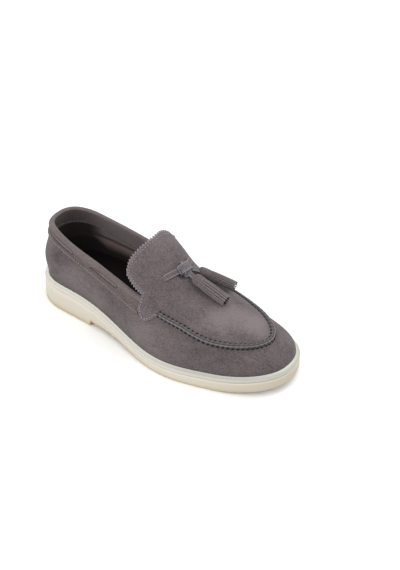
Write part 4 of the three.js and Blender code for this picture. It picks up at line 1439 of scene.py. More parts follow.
def seam_line(last, count=420):
    """Plan of the moccasin seam from the outer wing round the toe to the inner wing, evenly spaced."""
    back = np.linspace(WING_FRONT_AT + 0.004, APRON_ROUND_AT, 120)[:-1]
    tip = mix(APRON_ROUND_AT, APRON_TIP_AT, np.sin(np.linspace(0, np.pi / 2, 160)))
    x = np.concatenate([back, tip]) * last.length
    x = np.concatenate([x, x[:-1][::-1]])
    half = len(x) // 2 + 1
    y = np.concatenate([last.apron_edge(-1, x[:half]), last.apron_edge(1, x[half:])])
    line = last.on_skin(x, y, 0)
    walked = np.pad(np.cumsum(np.linalg.norm(np.diff(line, axis=0), axis=1)), (1, 0))
    even = np.linspace(0, walked[-1], count)
    return np.interp(even, walked, x), np.interp(even, walked, y), even


def seam_frame(last, x, y):
    """Base, outward and upward directions along the moccasin seam."""
    run = unit(np.gradient(np.stack([x, y], -1), axis=0))
    out = point(run[:, 1], -run[:, 0], 0)
    normal = last.skin_normal(x, y)
    across = unit(out - normal * np.sum(out * normal, -1)[:, None])
    return last.on_skin(x, y, 0), across, normal


def seam_parts(last, width, height, pitch):
    """Two turned edges side by side, drawn in at each hole."""
    x, y, walked = seam_line(last)
    base, across, normal = seam_frame(last, x, y)
    lift = last.apron_lift(x)
    half = width / 2
    pinch = np.exp(-(((walked / pitch + 0.5) % 1 - 0.5) * pitch) ** 2)
    sections, pale, deep = [], [], []
    for sideways, up, share, bright, dark in SEAM_SECTION:
        draw = np.where(abs(sideways) > 0.6, 1 - 0.26 * pinch, 1)
        rise = np.where(abs(sideways) > 0.5, 1 - 0.34 * pinch, 1 - 0.08 * pinch)
        raised = np.maximum(up * height / SEAM_SECTION_HEIGHT * rise, last.gap) + share * lift
        sections.append(base + across * (sideways * half * draw)[:, None] + normal * raised[:, None])
        # Pale cut edges with a painted highlight, and painted shade in the groove, at the foot and at each
        # hole.
        pale.append(bright * (1 - 0.25 * pinch))
        deep.append(dark + 0.15 * (bright < 0.7) * pinch)
    marks = {"cut_edge": np.stack(pale, 1), "shadowed": np.clip(np.stack(deep, 1), 0, 1)}
    return [loft(np.stack(sections, 1))], marks


def band_turns(last):
    end = 0.25
    slots = last.turn_at(-1, np.array([HEEL_SLOT_AT, *SIDE_SLOT_AT]) * last.length)
    knots = np.array([0, *slots, end])
    pieces = []
    for start, stop in zip(knots[:-1], knots[1:]):
        pieces.append(np.linspace(start, stop, max(2, round((stop - start) / 0.0016)) + 1)[:-1])
    half = np.append(np.concatenate(pieces), end)
    return np.concatenate([-half[:0:-1], half]), slots


def slot_lips(turns, slots, slot_top, slot_height):
    """Depths of the slots' upper and lower lips, and where a slot is open at all."""
    reach = np.abs(turns)
    along = np.clip((reach - slots[1]) / (slots[2] - slots[1]), 0, 1)
    heel, side = reach <= slots[0], (reach >= slots[1]) & (reach <= slots[2])
    gape = np.where(heel, 0.3 + 0.7 * ease(reach, 0.25 * slots[0], 0.8 * slots[0]), 0)
    gape = np.where(side, 0.3 + 0.7 * ease(along, 0, 0.55), gape)
    from_end = np.where(heel, slots[0] - reach, np.where(side, slots[2] - reach, 1))
    gape = gape * np.sqrt(np.clip(1 - np.clip(1 - from_end / 0.0035, 0, 1) ** 2, 0.12, 1))
    middle = slot_top + 0.22 * slot_height - 0.9 * np.where(side, ease(along, 0, 0.4), ease(reach, 0, 0.03))
    return middle - 0.5 * slot_height * gape, middle + 0.5 * slot_height * gape, heel | side


def band_surface(last, turns, outside, inside):
    """Points and directions over the fold of the collar at depths outside and inside."""
    lines = Ribs(last, turns, last.topline_climb(turns % 1.0))
    edge = lines.length[:, None]
    step = 0.6

    def placed(depth):
        points = lines.at(edge - depth)
        above = lines.at(np.minimum(edge - depth + step, edge))
        below = lines.at(edge - depth - step)
        return points, unit(np.cross(np.gradient(points, axis=0), above - below))

    tip = lines.at(edge - np.array([[0.0, 0.8]]))
    return *placed(outside), *placed(inside), unit(tip[:, 0] - tip[:, 1])


def meet_wing(points, turns, last):
    """Draws the band's front ends along the wall until they touch the rear edge of the wings."""
    reach = ease(np.abs(turns), 0.236, 0.25)
    target = WING_BACK_AT * last.length - 0.12
    for end, beside in ((0, 1), (-1, -2)):
        run = unit(points[end] - points[beside])
        missing = (target - points[end][..., 0]) / np.maximum(run[..., 0], 0.3)
        side = (turns < 0) if end == 0 else (turns >= 0)
        points = points + (reach * side)[:, None, None] * (run * missing[..., None])[None]
    return points


def band_parts(last, slot_top, slot_height):
    """Binding folded over the collar, padded above its slots, with a facing inside."""
    turns, slots = band_turns(last)
    x = last.footprint(turns)[:, 0]
    upper_lip, lower_lip, slotted = slot_lips(turns, slots, slot_top, slot_height)
    upper_lip, lower_lip = upper_lip[:, None], lower_lip[:, None]
    edge = last.band_outside(x)[:, None]
    outside = np.concatenate([
        edge + np.array([[0, -0.45, -1.0]]),
        mix(edge - 1.6, lower_lip + 0.5, np.linspace(0, 1, 7)),
        lower_lip,
        upper_lip,
        upper_lip - 0.45,
        mix(upper_lip - 1.0, 0, np.linspace(0, 1, 8)),
    ], 1)
    lip = 10
    facing = 16
    inside = last.band_inside(x)[:, None] * np.linspace(0, 1, facing)
    near, out_near, far, out_far, up = band_surface(last, turns, outside, inside)
    near, far = meet_wing(near, turns, last), meet_wing(far, turns, last)
    thick = last.gap + last.band_thickness
    pad = 1 - 0.5 * ease(np.abs(turns), 0.19, 0.25)
    roll = 0.75 * pad[:, None] * np.sin(np.pi * np.clip(outside / upper_lip, 0, 1)) ** 0.8
    pinch = 0.45 * np.exp(-(((outside - slot_top - 0.5 * slot_height) / 2.4) ** 2))
    thinned = 0.45 * np.exp(-(((outside - (upper_lip + lower_lip) / 2) / 1.6) ** 2))
    end_thin = 0.62 + 0.38 * ease(edge - outside, 0, 1.1)
    lifted = thick * end_thin + roll - np.where(slotted[:, None], thinned, pinch)
    lifted = np.maximum(lifted, last.gap + 0.35)
    front_out = near + out_near * lifted[..., None]
    back_out = near + out_near * last.gap
    centre = near[:, -1] - out_near[:, -1] * last.wall / 2
    angles = np.linspace(0, np.pi, 9)[1:-1]

    def cap(reach, rise):
        arcs = [centre + out_near[:, -1] * reach * math.cos(a) + up * rise * math.sin(a) for a in angles]
        return np.stack(arcs, 1)

    roll_in = 0.3 * pad[:, None] * np.sin(np.pi * np.clip(inside / 7, 0, 1)) - 0.4
    front_in = far - out_far * (last.wall + thick + roll_in)[..., None]
    back_in = far - out_far * (last.wall + last.gap)
    front = np.concatenate([front_out, cap(last.wall / 2 + thick, 1.6), front_in], 1)
    back = np.concatenate([back_out, cap(last.wall / 2 + last.gap, last.gap * 1.3), back_in], 1)
    middle = np.abs(turns[:-1] + turns[1:]) / 2
    in_slot = (middle < slots[0]) | ((middle > slots[1]) & (middle < slots[2]))
    present = np.ones((front.shape[0] - 1, front.shape[1] - 1), bool)
    present[:, lip] = ~in_slot
    # Painted shade at the slots' lips and along the facing's lower edge.
    dark = np.zeros(front.shape[:2])
    dark[:, lip : lip + 2] = np.array([0.35, 1.0]) * slotted[:, None]
    dark[:, -1] = 0.5
    # Pale cut edge at the band's foot, painted light on the medial facing and a painted highlight on the
    # padded roll and over the top.
    pale = np.zeros(front.shape[:2])
    pale[:, 0] = 0.35
    pale[:, -facing:] = 0.6 * ease(-turns, 0.05, 0.15)[:, None]
    pale[:, lip + 6 : -facing] = 0.24
    # Painted shade on the facing round the heel.
    dark[:, -facing:] += 0.25 * (1 - ease(np.abs(turns), 0.04, 0.15))[:, None]
    # Painted shade on the band's lower edge and on the facing's back edge.
    dark_back = dark.copy()
    dark_back[:, 0] = 0.8 * (1 - ease(np.abs(turns), 0.2, 0.225))
    dark_back[:, -1] = 1
    return [sheet(front, back, present)], {
        "shadowed": np.concatenate([dark.ravel(), dark_back.ravel()]),
        "cut_edge": np.concatenate([pale.ravel(), 0 * pale.ravel()]),
    }


def band_stitch_lines(last):
    """Stitch lines along the band's lower edge outside and along the facing's edge inside."""
    turns, _ = band_turns(last)
    x = last.footprint(turns)[:, 0]
    outside = (last.band_outside(x) - BAND_INSET)[:, None]
    inside = (last.band_inside(x) - FACING_INSET)[:, None]
    near, out_near, far, out_far, _ = band_surface(last, turns, outside, inside)
    thick = last.gap + last.band_thickness
    outer = (near + out_near * thick)[:, 0], out_near[:, 0]
    inner = (far - out_far * (last.wall + thick - 0.4))[:, 0], -out_far[:, 0]
    return outer, inner


def lace_parts(last, start, stop, slot_top, slot_height):
    """Flat lace that fills a slot, with soft edges."""
    turns = np.linspace(start, stop, max(12, round(abs(stop - start) / 0.0018)))
    _, slots = band_turns(last)
    upper_lip, lower_lip, _ = slot_lips(turns, slots, slot_top, slot_height)
    margin = np.minimum(0.35, 0.3 * (lower_lip - upper_lip))
    climb = np.linspace(0, 1, len(LACE_SECTION))
    rows = mix((lower_lip - margin)[:, None], (upper_lip + margin)[:, None], climb)
    near, out_near, _, _, _ = band_surface(last, turns, rows, rows)
    belly, pale, deep = np.array(LACE_SECTION).T
    front = near + out_near * (last.gap + belly)[:, None]
    back = near + out_near * last.gap
    points = 2 * len(turns)
    return [sheet(front, back)], {"cut_edge": np.tile(pale, points), "shadowed": np.tile(deep, points)}


def strap_sections(path, normals, width, thickness):
    """Sections of a flat strap with rounded edges along a path."""
    run = unit(np.gradient(path, axis=0))
    across = unit(np.cross(normals, run))
    up = unit(np.cross(run, across))
    half = (np.broadcast_to(width, len(path)) / 2)[:, None]
    sideways, rise, pale, deep = np.array(STRAP_SECTION).T
    sections = [path + across * (s * half) + up * (r * thickness) for s, r in zip(sideways, rise)]
    return np.stack(sections, 1), np.tile(pale, len(path)), np.tile(deep, len(path))


def resampled(path, count):
    """Smooth curve through a few points (Catmull-Rom), evenly spaced."""
    path = np.asarray(path, float)
    ends = np.concatenate([[2 * path[0] - path[1]], path, [2 * path[-1] - path[-2]]])
    fine = []
    for i in range(len(path) - 1):
        a, b, c, d = ends[i : i + 4]
        t = np.linspace(0, 1, 24, endpoint=False)[:, None]
        fine.append(
            0.5 * (2 * b + (c - a) * t + (2 * a - 5 * b + 4 * c - d) * t**2 + (3 * b - a - 3 * c + d) * t**3)
        )
    fine = np.concatenate(fine + [path[-1:]])
    walked = np.pad(np.cumsum(np.linalg.norm(np.diff(fine, axis=0), axis=1)), (1, 0))
    even = np.linspace(0, walked[-1], count)
    return np.stack([np.interp(even, walked, fine[:, axis]) for axis in range(3)], 1)


def build_tie(last, sizes, finish, knot_finish):
    """Strap through the slits, two hanging straps and the knot that holds them."""
    width, thick = sizes.strap_width / METRE, sizes.strap_thickness / METRE
    knot_x = KNOT_AT * last.length
    slit_x = SLIT_AT * last.length

    def over(x):
        return last.apron_lift(x) + 2 * last.gap

    parts, pale, deep = [], [], []

    def strap(path_rows, breadth=width, depth=thick, count=40):
        rows = np.array(path_rows, float)
        smooth = resampled(rows, count)
        x, y, lift = smooth.T
        middle, normals = last.on_skin(x, y, lift), last.skin_normal(x, y)
        sections, edges, low = strap_sections(middle, normals, breadth, depth)
        parts.append(loft(sections))
        pale.append(edges)
        deep.append(low)

    def build(name, look, replaced=(), edges=1.0):
        # Pale edges with painted highlights, and painted shade under the straps.
        marks = {"cut_edge": edges * np.concatenate(pale), "shadowed": np.concatenate(deep)}
        build_piece(name, parts, last, look, "trim_suede", replaced, marks, crisp=60)
        for rows in (parts, pale, deep):
            rows.clear()

    for side in (-1, 1):
        rows = []
        for share in (0.0, 0.25, 0.5, 0.72, 0.9, 1.0):
            x = mix(knot_x, slit_x, share**1.3)
            rise = 0.9 * math.sin(math.pi * min(share * 1.15, 1)) - (1.3 if share == 1 else 0)
            rows.append((x, side * share * SLIT_ACROSS[side], over(x) + rise))
        strap(rows, width * (1 - 0.4 * ease(np.linspace(0, 1, 40), 0.88, 1)))
    build("tassel_tie_dressed", finish, ("tassel_tie",), 1.8)
    for at, across, _, tip, _, _ in (LATERAL_TASSEL, MEDIAL_TASSEL):
        end_x = at * last.length + 1.0
        rows = []
        for share in (0, 0.3, 0.6, 0.85, 1):
            x = mix(knot_x, end_x, share)
            lift = mix(over(x) + 1.6, tip - thick / 2, share**2) + 0.8 * math.sin(math.pi * share)
            rows.append((x, mix(0.0, across, share), lift))
        strap(rows)
    base = over(knot_x)
    for turns, breadth in ((KNOT_WRAP, WRAP_WIDTH), (KNOT_TUCK, TUCK_WIDTH)):
        strap([(knot_x + x, y, base + lift) for x, y, lift in turns], breadth, KNOT_THICKNESS)
    build("tassel_knot", knot_finish)


def build_tassel(name, middle, last, sizes, finish):
    """Tassel laid on the apron: wrapped cap, strips round it and a rolled core at its end."""
    at, across, turn, tip, end, girth = middle
    length, radius = sizes.tassel_length / METRE, sizes.tassel_radius * girth / METRE
    x = at * last.length
    angle = math.radians(turn)
    far_x = x + math.cos(angle) * length * 0.9
    far_y = across + math.sin(angle) * length * 0.9
    start = Vector(last.on_skin(x, across, tip))
    stop = Vector(last.on_skin(far_x, far_y, end))
    axis = (stop - start).normalized()
    turned = Vector((1, 0, 0)).rotation_difference(axis).to_matrix().to_4x4()
    shift = Vector(shoe_to_frame(last))
    place = Matrix.Translation(start * METRE + shift) @ turned

    around = np.linspace(0, 2 * np.pi, CORE_SIDES, endpoint=False)
    sections = np.array([
        [(s * length, r * radius * math.cos(a), r * radius * math.sin(a)) for a in around]
        for s, r, _, _ in CORE_SECTION
    ])
    _, _, pale, deep = np.array(CORE_SECTION).T
    marks = {"cut_edge": np.repeat(pale, CORE_SIDES), "shadowed": np.repeat(deep, CORE_SIDES)}
    mesh = lofted_mesh(name + "_dressed", sections, STRIP_CRISP, marks)
    mesh.transform(place)
    add_piece(name + "_dressed", mesh, finish, "trim_suede", (name,))

    strip = strip_object(name + "_strip", length, radius, sizes.tassel_strips)
    seed_mesh = bpy.data.meshes.new(name + "_seed")
    seed_mesh.from_pydata([(0, 0, 0)], [], [])
    values = {
        "Count": sizes.tassel_strips,
        "Thing": strip,
        "Finish": finish,
        "Uneven": STRIP_UNEVEN,
        "Seed": len(name),
    }
    grown = grown_mesh(name + "_strips", seed_mesh, fringe_tree(), values)
    bpy.data.objects.remove(strip)
    grown.transform(place)
    grown.polygons.foreach_set("use_smooth", [True] * len(grown.polygons))
    grown.set_sharp_from_angle(angle=math.radians(STRIP_CRISP))
    add_piece(name + "_strips", grown, finish, "trim_suede")


def strip_object(name, length, radius, strips):
    """One cut strip on the upper side of the tassel's core, along X."""
    half = 0.76 * math.pi / strips
    sections, pale = [], []
    for s, r in STRIP_ROWS:
        outer, inner = r * radius, (r - 0.17) * radius
        ring = (
            (inner, -0.9), (outer - 0.25, -1), (outer, -0.82), (outer + 0.06, 0),
            (outer, 0.82), (outer - 0.25, 1), (inner, 0.9),
        )
        sections.append([(s * length, v * math.sin(a * half), v * math.cos(a * half)) for v, a in ring])
        # Pale cut edges, paler at the cut end, and painted shade on the strip's inner side.
        end = 0.3 if s == 1.0 else 0.0
        pale.extend([0.1 + end, 0.55 + end / 2, 0.35, end, 0.35, 0.55 + end / 2, 0.1 + end])
    deep = np.tile([0.9, 0.1, 0, 0, 0, 0.1, 0.9], len(STRIP_ROWS))
    marks = {"cut_edge": pale, "shadowed": deep}
    return linked(name, lofted_mesh(name, np.array(sections), STRIP_CRISP, marks))


# Sizes, colours and operators

class LoaferSizes(bpy.types.PropertyGroup):
    """Sizes of the shoe that its looks are worked out from."""

    def size(label, about, default):
        return bpy.props.FloatProperty(
            name=label, description=about, default=default, min=0.0, unit="LENGTH", precision=4
        )

    last_length: size("Last length", "Feather line from heel to toe", 0.292)
    ball_width: size("Ball width", "Width that the last's shares refer to", 0.105)
    instep_height: size("Instep height", "Height that the ridge's shares refer to", 0.118)
    collar_height: size("Collar height", "Top line at the back of the heel", 0.088)
    heel_seat: size("Heel seat", "Top of the sole under the heel", 0.0272)
    sole_rim: size("Sole rim", "How far the sole stands out round the upper", 0.004)
    wall: size("Wall", "Thickness of the suede with its lining", 0.0018)
    clearance: size("Clearance", "Air between neighbouring pieces", 0.0003)
    apron_thickness: size("Apron thickness", "Thickness of apron and tongue", 0.0018)
    band_thickness: size("Band thickness", "Thickness of the collar band", 0.0012)
    insole_thickness: size("Insole thickness", "Thickness of the insole's rim", 0.003)
    heel_breast: size("Heel breast", "Step in front of the heel", 0.0054)
    toe_spring: size("Toe spring", "Rise of the tread at the toe", 0.0081)
    tongue_bow: size("Tongue bow", "How far the tongue's back edge bows forward", 0.0128)
    tongue_corner: size("Tongue corner", "How far the tongue's corners are rounded off", 0.0034)
    tongue_turn: size("Tongue turn", "How far the tongue's inner corner stands forward", 0.006)
    tip_shift: size("Tip shift", "Shift of the apron's tip to the inner side", 0.003)
    white_strip: size("White strip", "Height of the upper band of the sole", 0.0042)
    side_groove: size("Side groove", "Depth of the groove between the sole's bands", 0.0006)
    ridge_width: size("Ridge width", "Width of the moccasin seam", 0.0052)
    ridge_height: size("Ridge height", "Height of the moccasin seam", 0.0029)
    hole_pitch: size("Hole pitch", "Distance between holes of the moccasin seam", 0.0048)
    tooth_pitch: size("Tooth pitch", "Distance between the pinked teeth", 0.0033)
    tooth_depth: size("Tooth depth", "Depth of the pinked teeth", 0.0026)
    stitch_pitch: size("Stitch pitch", "Distance between stitches", 0.0031)
    slot_top: size("Slot top", "Depth of the slots under the collar's edge", 0.0059)
    slot_height: size("Slot height", "Height of the slots in the band", 0.0042)
    strap_width: size("Strap width", "Width of the tassel strap", 0.0058)
    strap_thickness: size("Strap thickness", "Thickness of the tassel strap", 0.0012)
    tassel_length: size("Tassel length", "Length of each tassel", 0.0402)
    tassel_radius: size("Tassel radius", "Radius of each tassel", 0.0056)
    tassel_strips: bpy.props.IntProperty(
        name="Tassel strips", description="Cut strips round each tassel", default=14, min=6, max=40
    )


class LoaferColours(bpy.types.PropertyGroup):
    """Colours of the shoe's materials."""

    def colour(label, about, default):
        return bpy.props.FloatVectorProperty(
            name=label, description=about, default=default, min=0.0, max=1.0, size=3, subtype="COLOR"
        )

    side: colour("Side suede", "Suede of the side wall", (0.083, 0.069, 0.070))
    apron: colour("Apron suede", "Suede of apron and tongue", (0.097, 0.080, 0.084))
    ridge: colour("Seam suede", "Suede of the raised seam", (0.068, 0.060, 0.062))
    band: colour("Collar suede", "Suede of the collar band", (0.088, 0.071, 0.068))
    trim: colour("Trim suede", "Suede of laces, strap and tassels", (0.102, 0.084, 0.086))
    knot: colour("Knot suede", "Suede of the knot and the hanging straps", (0.112, 0.103, 0.110))
    lining: colour("Lining", "Napped lining", (0.250, 0.192, 0.178))
    # The insole is coloured near black: painted shade of the shoe's inside.
    insole: colour("Insole", "Smooth leather of the insole", (0.006, 0.004, 0.004))
    thread: colour("Thread", "Sewing thread", (0.30, 0.27, 0.265))
    tan_thread: colour("Collar thread", "Sewing thread of the collar", (0.31, 0.25, 0.22))
    # Near-black colour of the beads that paint the shade in the seam's holes.
    hole: colour("Holes", "Depth of the seam's holes", (0.012, 0.010, 0.010))
    strip: colour("Upper band", "Upper band of the sole", (0.52, 0.505, 0.45))
    sole: colour("Outsole", "Lower band of the sole", (0.525, 0.485, 0.412))
    # Darker colours of the sole's bands near the toe: painted shade of the toe, the lower one also yellower.
    toe_shaded_sole: colour("Toe-shaded sole", "Lower band of the sole near the toe", (0.428, 0.376, 0.297))
    toe_shaded_strip: colour("Toe-shaded band", "Upper band of the sole near the toe", (0.405, 0.412, 0.365))
    floor: colour("Floor", "Floor that the shoe stands on", (0.93, 0.93, 0.93))


def settings():
    scene = bpy.context.scene
    return Last(scene.loafer_sizes), scene.loafer_sizes, scene.loafer_colours


def on_shoe(last, x, y, z):
    """Row-frame place, in metres, of a point in the shoe's millimetres."""
    return tuple(np.array([x, y, z]) * METRE + shoe_to_frame(last))


def placed_patches(last, rows):
    return [(on_shoe(last, *place), radius, strength) for place, radius, strength in rows]


def trim_suede(colours):
    """Suede of laces, strap and tassels, made once."""
    name = "tassel_suede"
    return bpy.data.materials.get(name) or suede(name, (*colours.trim, 1), cloud=0.3)


class LOAFER_OT_sole(bpy.types.Operator):
    """Build the two-colour rubber sole and the insole"""

    bl_idname = "loafer.sole"
    bl_label = "Sole and Insole"

    def execute(self, context):
        last, sizes, colours = settings()
        strip, groove = sizes.white_strip / METRE, sizes.side_groove / METRE
        edge = 1.2
        stations = sole_stations(last, 150)

        def tread(_, station):
            return last.tread_height(station)

        def top(x, _):
            return last.seat_height(x) - last.gap

        def split(x, station):
            return top(x, station) - strip

        def seat(x, _):
            return last.seat_height(x)

        def between(share):
            return lambda x, station: mix(tread(x, station) + edge, split(x, station) - 1.3, share)

        def ring(outset, base, rise=0.0):
            return outline(last, stations, outset, lambda x, station: base(x, station) + rise)

        rings = np.array([
            *[
                ring(last.rim - edge + edge * math.sin(a), tread, edge - edge * math.cos(a))
                for a in np.linspace(0, math.pi / 2, 5)
            ],
            *[
                ring(last.rim + 0.15 * math.sin(math.pi * share), between(share))
                for share in (0.25, 0.5, 0.75)
            ],
            ring(last.rim, split, -1.3),
            ring(last.rim - 0.12, split, -0.95),
            ring(last.rim - groove, split, -0.7),
            ring(last.rim - groove, split, -last.gap),
        ])
        # Painted shade near the toe, darker and yellower.
        toe_shaded_sole = [(on_shoe(last, *SOLE_TOE_SHADE_AT), SOLE_TOE_SHADE_REACH, shade(colours.toe_shaded_sole, 1))]
        cream = rubber("cream_rubber", (*colours.sole, 1), (0.42, 0.34, 0.18, 1), toe_shaded_sole, tread=True)
        marks = {
            "tread": first_rings(rings, 1),
            "floor_edge": first_rings(rings, 1, 1, 1, 1, 0.85, 0.1),
            # Painted highlight along the outsole's top edge under the groove.
            "ledge": last_rings(rings, 0.2, 0.7, 0.3, 0),
        }
        build_piece("outsole_dressed", [plate(rings)], last, cream, "outsole_rubber", ("outsole",), marks)

        rings = np.array([
            ring(last.rim - groove, split),
            ring(last.rim - groove, split, 0.1),
            ring(last.rim - 0.12, split, 0.35),
            ring(last.rim, split, 0.7),
            ring(last.rim + 0.1, split, 2.6),
            *[
                ring(last.rim - 1 + math.cos(a), top, edge * math.sin(a) - edge)
                for a in np.linspace(0, math.pi / 2, 6)
            ],
            ring(1.6, top, 0.25),
            ring(0.3, seat, 0.55),
            ring(-0.6, top),
        ])
        # Painted shade near the toe.
        toe_shaded_strip = [(on_shoe(last, *STRIP_TOE_SHADE_AT), STRIP_TOE_SHADE_REACH, shade(colours.toe_shaded_strip, 1))]
        white = rubber("white_rubber", (*colours.strip, 1), (0.7, 0.6, 0.45, 1), toe_shaded_strip)
        to_toe = ease(rings[..., 0], 110, 230)
        marks = {
            # Painted light on the ledge, weaker towards the toe, and painted shade on its rim near the toe.
            "ledge": last_rings(rings, 0.1, 0.3, 0.7, 1, 1, 1) * (0.85 - 0.35 * to_toe),
            "dull": last_rings(rings, 0.1, 0.15, 0.25, 0.3, 0.3, 0.3, 0.2, 0, 0) * to_toe,
        }
        build_piece("midsole_dressed", [plate(rings)], last, white, "strip_rubber", ("midsole",), marks)

        thick = sizes.insole_thickness / METRE
        rim = -(last.wall + 2 * last.gap)
        under = rim - MARGIN
        lifted = last.wall + last.gap
        rings = np.array([
            ring(under, seat),
            ring(under, seat, lifted),
            ring(rim, seat, lifted),
            *[
                ring(rim - 2 * (1 - math.cos(a)), seat, lifted + thick * math.sin(a))
                for a in np.linspace(0.25, math.pi / 2, 5)
            ],
        ])
        # The insole's near-black colour is painted shade.
        leather = smooth_leather("sock_leather", (*colours.insole, 1))
        build_piece("insole_dressed", [plate(rings)], last, leather, "insole_leather", ("insole",))
        return {"FINISHED"}


class LOAFER_OT_upper(bpy.types.Operator):
    """Build the suede side wall with its lining"""

    bl_idname = "loafer.upper"
    bl_label = "Upper and Lining"

    def execute(self, context):
        last, _, colours = settings()
        wall = suede("side_suede", (*colours.side, 1), placed_patches(last, WALL_PATCHES))
        build_piece("upper_dressed", upper_parts(last), last, wall, "suede", ("upper",))
        parts, deep = lining_parts(last)
        inside = lining_suede("lining_suede", (*colours.lining, 1))
        build_piece("lining", parts, last, inside, "insole_leather", marks={"shadowed": deep})
        return {"FINISHED"}


class LOAFER_OT_apron(bpy.types.Operator):
    """Build the apron with its pinked tongue and the raised seam"""

    bl_idname = "loafer.apron"
    bl_label = "Apron and Seam"

    def execute(self, context):
        last, sizes, colours = settings()
        hide = suede("vamp_suede", (*colours.apron, 1), placed_patches(last, APRON_PATCHES_AND_SHADOWS))
        tooth, depth = sizes.tooth_pitch / METRE, sizes.tooth_depth / METRE
        parts, marks = apron_parts(last, tooth, depth)
        build_piece("apron_dressed", parts, last, hide, "apron_suede", ("apron",), marks)
        pitch = sizes.hole_pitch / METRE
        parts, marks = seam_parts(last, sizes.ridge_width / METRE, sizes.ridge_height / METRE, pitch)
        ridge = suede("ridge_suede", (*colours.ridge, 1), cloud=0.3)
        build_piece("seam_dressed", parts, last, ridge, "suede", ("moc_seam",), marks, crisp=70)
        return {"FINISHED"}


class LOAFER_OT_collar(bpy.types.Operator):
    """Build the collar band with its facing and the lace in its slots"""

    bl_idname = "loafer.collar"
    bl_label = "Collar Band and Lace"

    def execute(self, context):
        last, sizes, colours = settings()
        top, high = sizes.slot_top / METRE, sizes.slot_height / METRE
        band = suede("band_suede", (*colours.band, 1), cloud=0.45, warmth=0.2)
        parts, marks = band_parts(last, top, high)
        build_piece("collar_band_dressed", parts, last, band, "suede", ("collar_band",), marks)
        trim = trim_suede(colours)
        heel, start, stop = last.turn_at(-1, np.array([HEEL_SLOT_AT, *SIDE_SLOT_AT]) * last.length)
        inset = 0.0012
        spans = {
            "heel": (-heel + inset, heel - inset),
            "lateral": (start + inset, stop - inset),
            "medial": (-stop + inset, -start - inset),
        }
        for place, (first, second) in spans.items():
            parts, marks = lace_parts(last, first, second, top, high)
            name = "collar_lace_" + place
            build_piece(name + "_dressed", parts, last, trim, "trim_suede", (name,), marks)
        return {"FINISHED"}


class LOAFER_OT_tassels(bpy.types.Operator):
    """Build the strap, its knot and the two tassels"""

    bl_idname = "loafer.tassels"
    bl_label = "Tie and Tassels"

    def execute(self, context):
        last, sizes, colours = settings()
        trim = trim_suede(colours)
        build_tie(last, sizes, trim, suede("knot_suede", (*colours.knot, 1), cloud=0.3))
        for name, middle in (("tassel_lateral", LATERAL_TASSEL), ("tassel_medial", MEDIAL_TASSEL)):
            build_tassel(name, middle, last, sizes, trim)
        return {"FINISHED"}


class LOAFER_OT_stitches(bpy.types.Operator):
    """Sew the stitch rows and set dark beads as painted shade in the holes of the moccasin seam"""

    bl_idname = "loafer.stitches"
    bl_label = "Stitches and Holes"

    def execute(self, context):
        last, sizes, colours = settings()
        pitch = sizes.stitch_pitch / METRE
        thread = sewing_thread("sewing_thread", (*colours.thread, 1))
        dark = hole_shade("painted_hole_shade", (*colours.hole, 1))
        stitch = bead_object("one_stitch", *STITCH)
        fine = bead_object("fine_stitch", *FINE_STITCH)
        outer, inner = band_stitch_lines(last)
        tan = sewing_thread("tan_thread", (*colours.tan_thread, 1))
        add_row("stitches_band", *outer, last, pitch, fine, tan, "trim_suede", seed=3)
        add_row("stitches_facing", *inner, last, pitch, fine, thread, "trim_suede", seed=4)
        x, y = tongue_border(last)
        x, y = smoothed(x, 4), smoothed(y, 4)
        line, outs = inset_line(last, x, y, -TONGUE_INSET, lambda px: last.apron_lift(px) + 0.02)
        keep = slice(4, -4)
        add_row("stitches_tongue", line[keep], outs[keep], last, pitch, stitch, thread, "trim_suede", seed=5)

        hole_pitch = sizes.hole_pitch / METRE
        half = sizes.ridge_width / METRE / 2
        x, y, _ = seam_line(last)
        base, across, normal = seam_frame(last, x, y)
        lift = last.apron_lift(x)[:, None]
        apron_hole = bead_object("apron_hole", *APRON_HOLE)
        wall_hole = bead_object("wall_hole", *WALL_HOLE)
        # Rows of dark beads as painted shade in the holes.
        holes = (
            ("seam_holes_apron", apron_hole, -(half + 0.25), lift + 0.35, -0.3),
            ("seam_holes_wall", wall_hole, half + 0.15, 0.25, 0.5),
        )
        for name, bead, outwards, rise, lean in holes:
            row = base + across * outwards + normal * rise
            add_row(name, row, normal + across * lean, last, hole_pitch, bead, dark, "suede")
        for bead in (stitch, fine, apron_hole, wall_hole):
            bpy.data.objects.remove(bead)
        return {"FINISHED"}


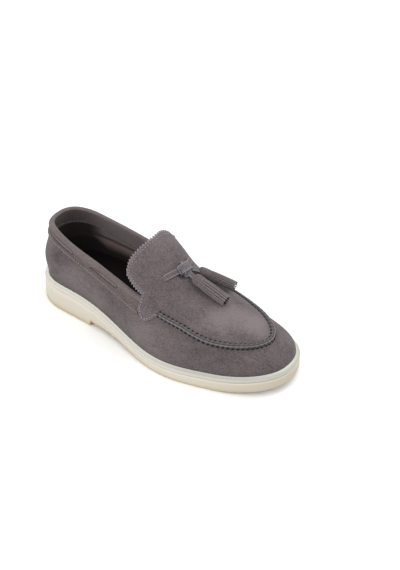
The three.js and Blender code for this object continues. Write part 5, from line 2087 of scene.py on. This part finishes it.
class LOAFER_OT_stage(bpy.types.Operator):
    """Set the floor, the lights and the camera"""

    bl_idname = "loafer.stage"
    bl_label = "Floor, Lights and Camera"

    def execute(self, context):
        last, _, colours = settings()
        far = FLOOR_REACH
        mesh = bpy.data.meshes.new("floor")
        mesh.from_pydata([(-far, -far, 0), (far, -far, 0), (far, far, 0), (-far, far, 0)], [], [(0, 1, 2, 3)])
        look = Finish("floor_paper")
        paper = (*colours.floor, 1)
        mesh.materials.append(look.finish(look.blend(look.noise(0.02, 2), shade(paper, 0.985), paper), 0.9))
        floor = linked("floor", mesh)

        world = bpy.data.worlds.new("studio")
        context.scene.world = world
        world.use_nodes = True
        sky = world.node_tree.nodes["Background"]
        sky.inputs["Color"].default_value = (1, 1, 1, 1)
        sky.inputs["Strength"].default_value = SKY_STRENGTH

        level = math.cos(CAMERA_ELEVATION)
        back = Vector((
            math.sin(CAMERA_AZIMUTH) * level,
            -math.cos(CAMERA_AZIMUTH) * level,
            math.sin(CAMERA_ELEVATION),
        ))
        right = Vector((math.cos(CAMERA_AZIMUTH), math.sin(CAMERA_AZIMUTH), 0))
        up = back.cross(right)
        turned_right = math.cos(CAMERA_ROLL) * right + math.sin(CAMERA_ROLL) * up
        turned_up = -math.sin(CAMERA_ROLL) * right + math.cos(CAMERA_ROLL) * up
        target = Vector(CAMERA_AIM) + CAMERA_SHIFT[0] * turned_right + CAMERA_SHIFT[1] * turned_up
        eye = (target + CAMERA_DISTANCE * back) * METRE + Vector(shoe_to_frame(last))
        camera = linked("camera", bpy.data.cameras.new("camera"))
        camera.data.sensor_width = SENSOR
        camera.data.lens = FOCAL_PIXELS * SENSOR / PHOTO_HEIGHT_PIXELS
        camera.data.clip_start, camera.data.clip_end = 0.05, 60
        axes = Matrix((turned_right, turned_up, back)).transposed().to_4x4()
        camera.matrix_world = Matrix.Translation(eye) @ axes
        context.scene.camera = camera

        middle = Vector((0.0, 0.0, 0.04))
        flat_back = Vector((back.x, back.y, 0)).normalized()
        for name, aside, towards, height, width, power in LAMPS:
            lamp = bpy.data.lights.new(name, "AREA")
            lamp.shape, lamp.size, lamp.energy = "SQUARE", width, power
            holder = linked(name, lamp)
            holder.location = middle + right * aside + flat_back * towards + Vector((0, 0, height))
            holder.rotation_euler = (middle - holder.location).to_track_quat("-Z", "Y").to_euler()
        context.scene.view_settings.view_transform = "Standard"
        return {"FINISHED"}


class LOAFER_PT_panel(bpy.types.Panel):
    """Lists the shoe's pieces"""

    bl_idname = "LOAFER_PT_panel"
    bl_label = "Tassel Loafer"
    bl_space_type = "VIEW_3D"
    bl_region_type = "UI"
    bl_category = "Loafer"

    def draw(self, context):
        for operator in OPERATORS:
            self.layout.operator(operator.bl_idname)
        for group in (context.scene.loafer_sizes, context.scene.loafer_colours):
            box = self.layout.box()
            for name in group.__annotations__:
                box.prop(group, name)


OPERATORS = (
    LOAFER_OT_stage,
    LOAFER_OT_sole,
    LOAFER_OT_upper,
    LOAFER_OT_apron,
    LOAFER_OT_collar,
    LOAFER_OT_tassels,
    LOAFER_OT_stitches,
)
CLASSES = (LoaferSizes, LoaferColours, *OPERATORS, LOAFER_PT_panel)


def register():
    for cls in CLASSES:
        bpy.utils.register_class(cls)
    bpy.types.Scene.loafer_sizes = bpy.props.PointerProperty(type=LoaferSizes)
    bpy.types.Scene.loafer_colours = bpy.props.PointerProperty(type=LoaferColours)


def unregister():
    del bpy.types.Scene.loafer_colours
    del bpy.types.Scene.loafer_sizes
    for cls in reversed(CLASSES):
        bpy.utils.unregister_class(cls)


def main():
    register()
    bpy.ops.loafer.stage()
    bpy.ops.loafer.sole()
    bpy.ops.loafer.upper()
    bpy.ops.loafer.apron()
    bpy.ops.loafer.collar()
    bpy.ops.loafer.tassels()
    bpy.ops.loafer.stitches()
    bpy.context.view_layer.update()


if __name__ == "__main__":
    main()
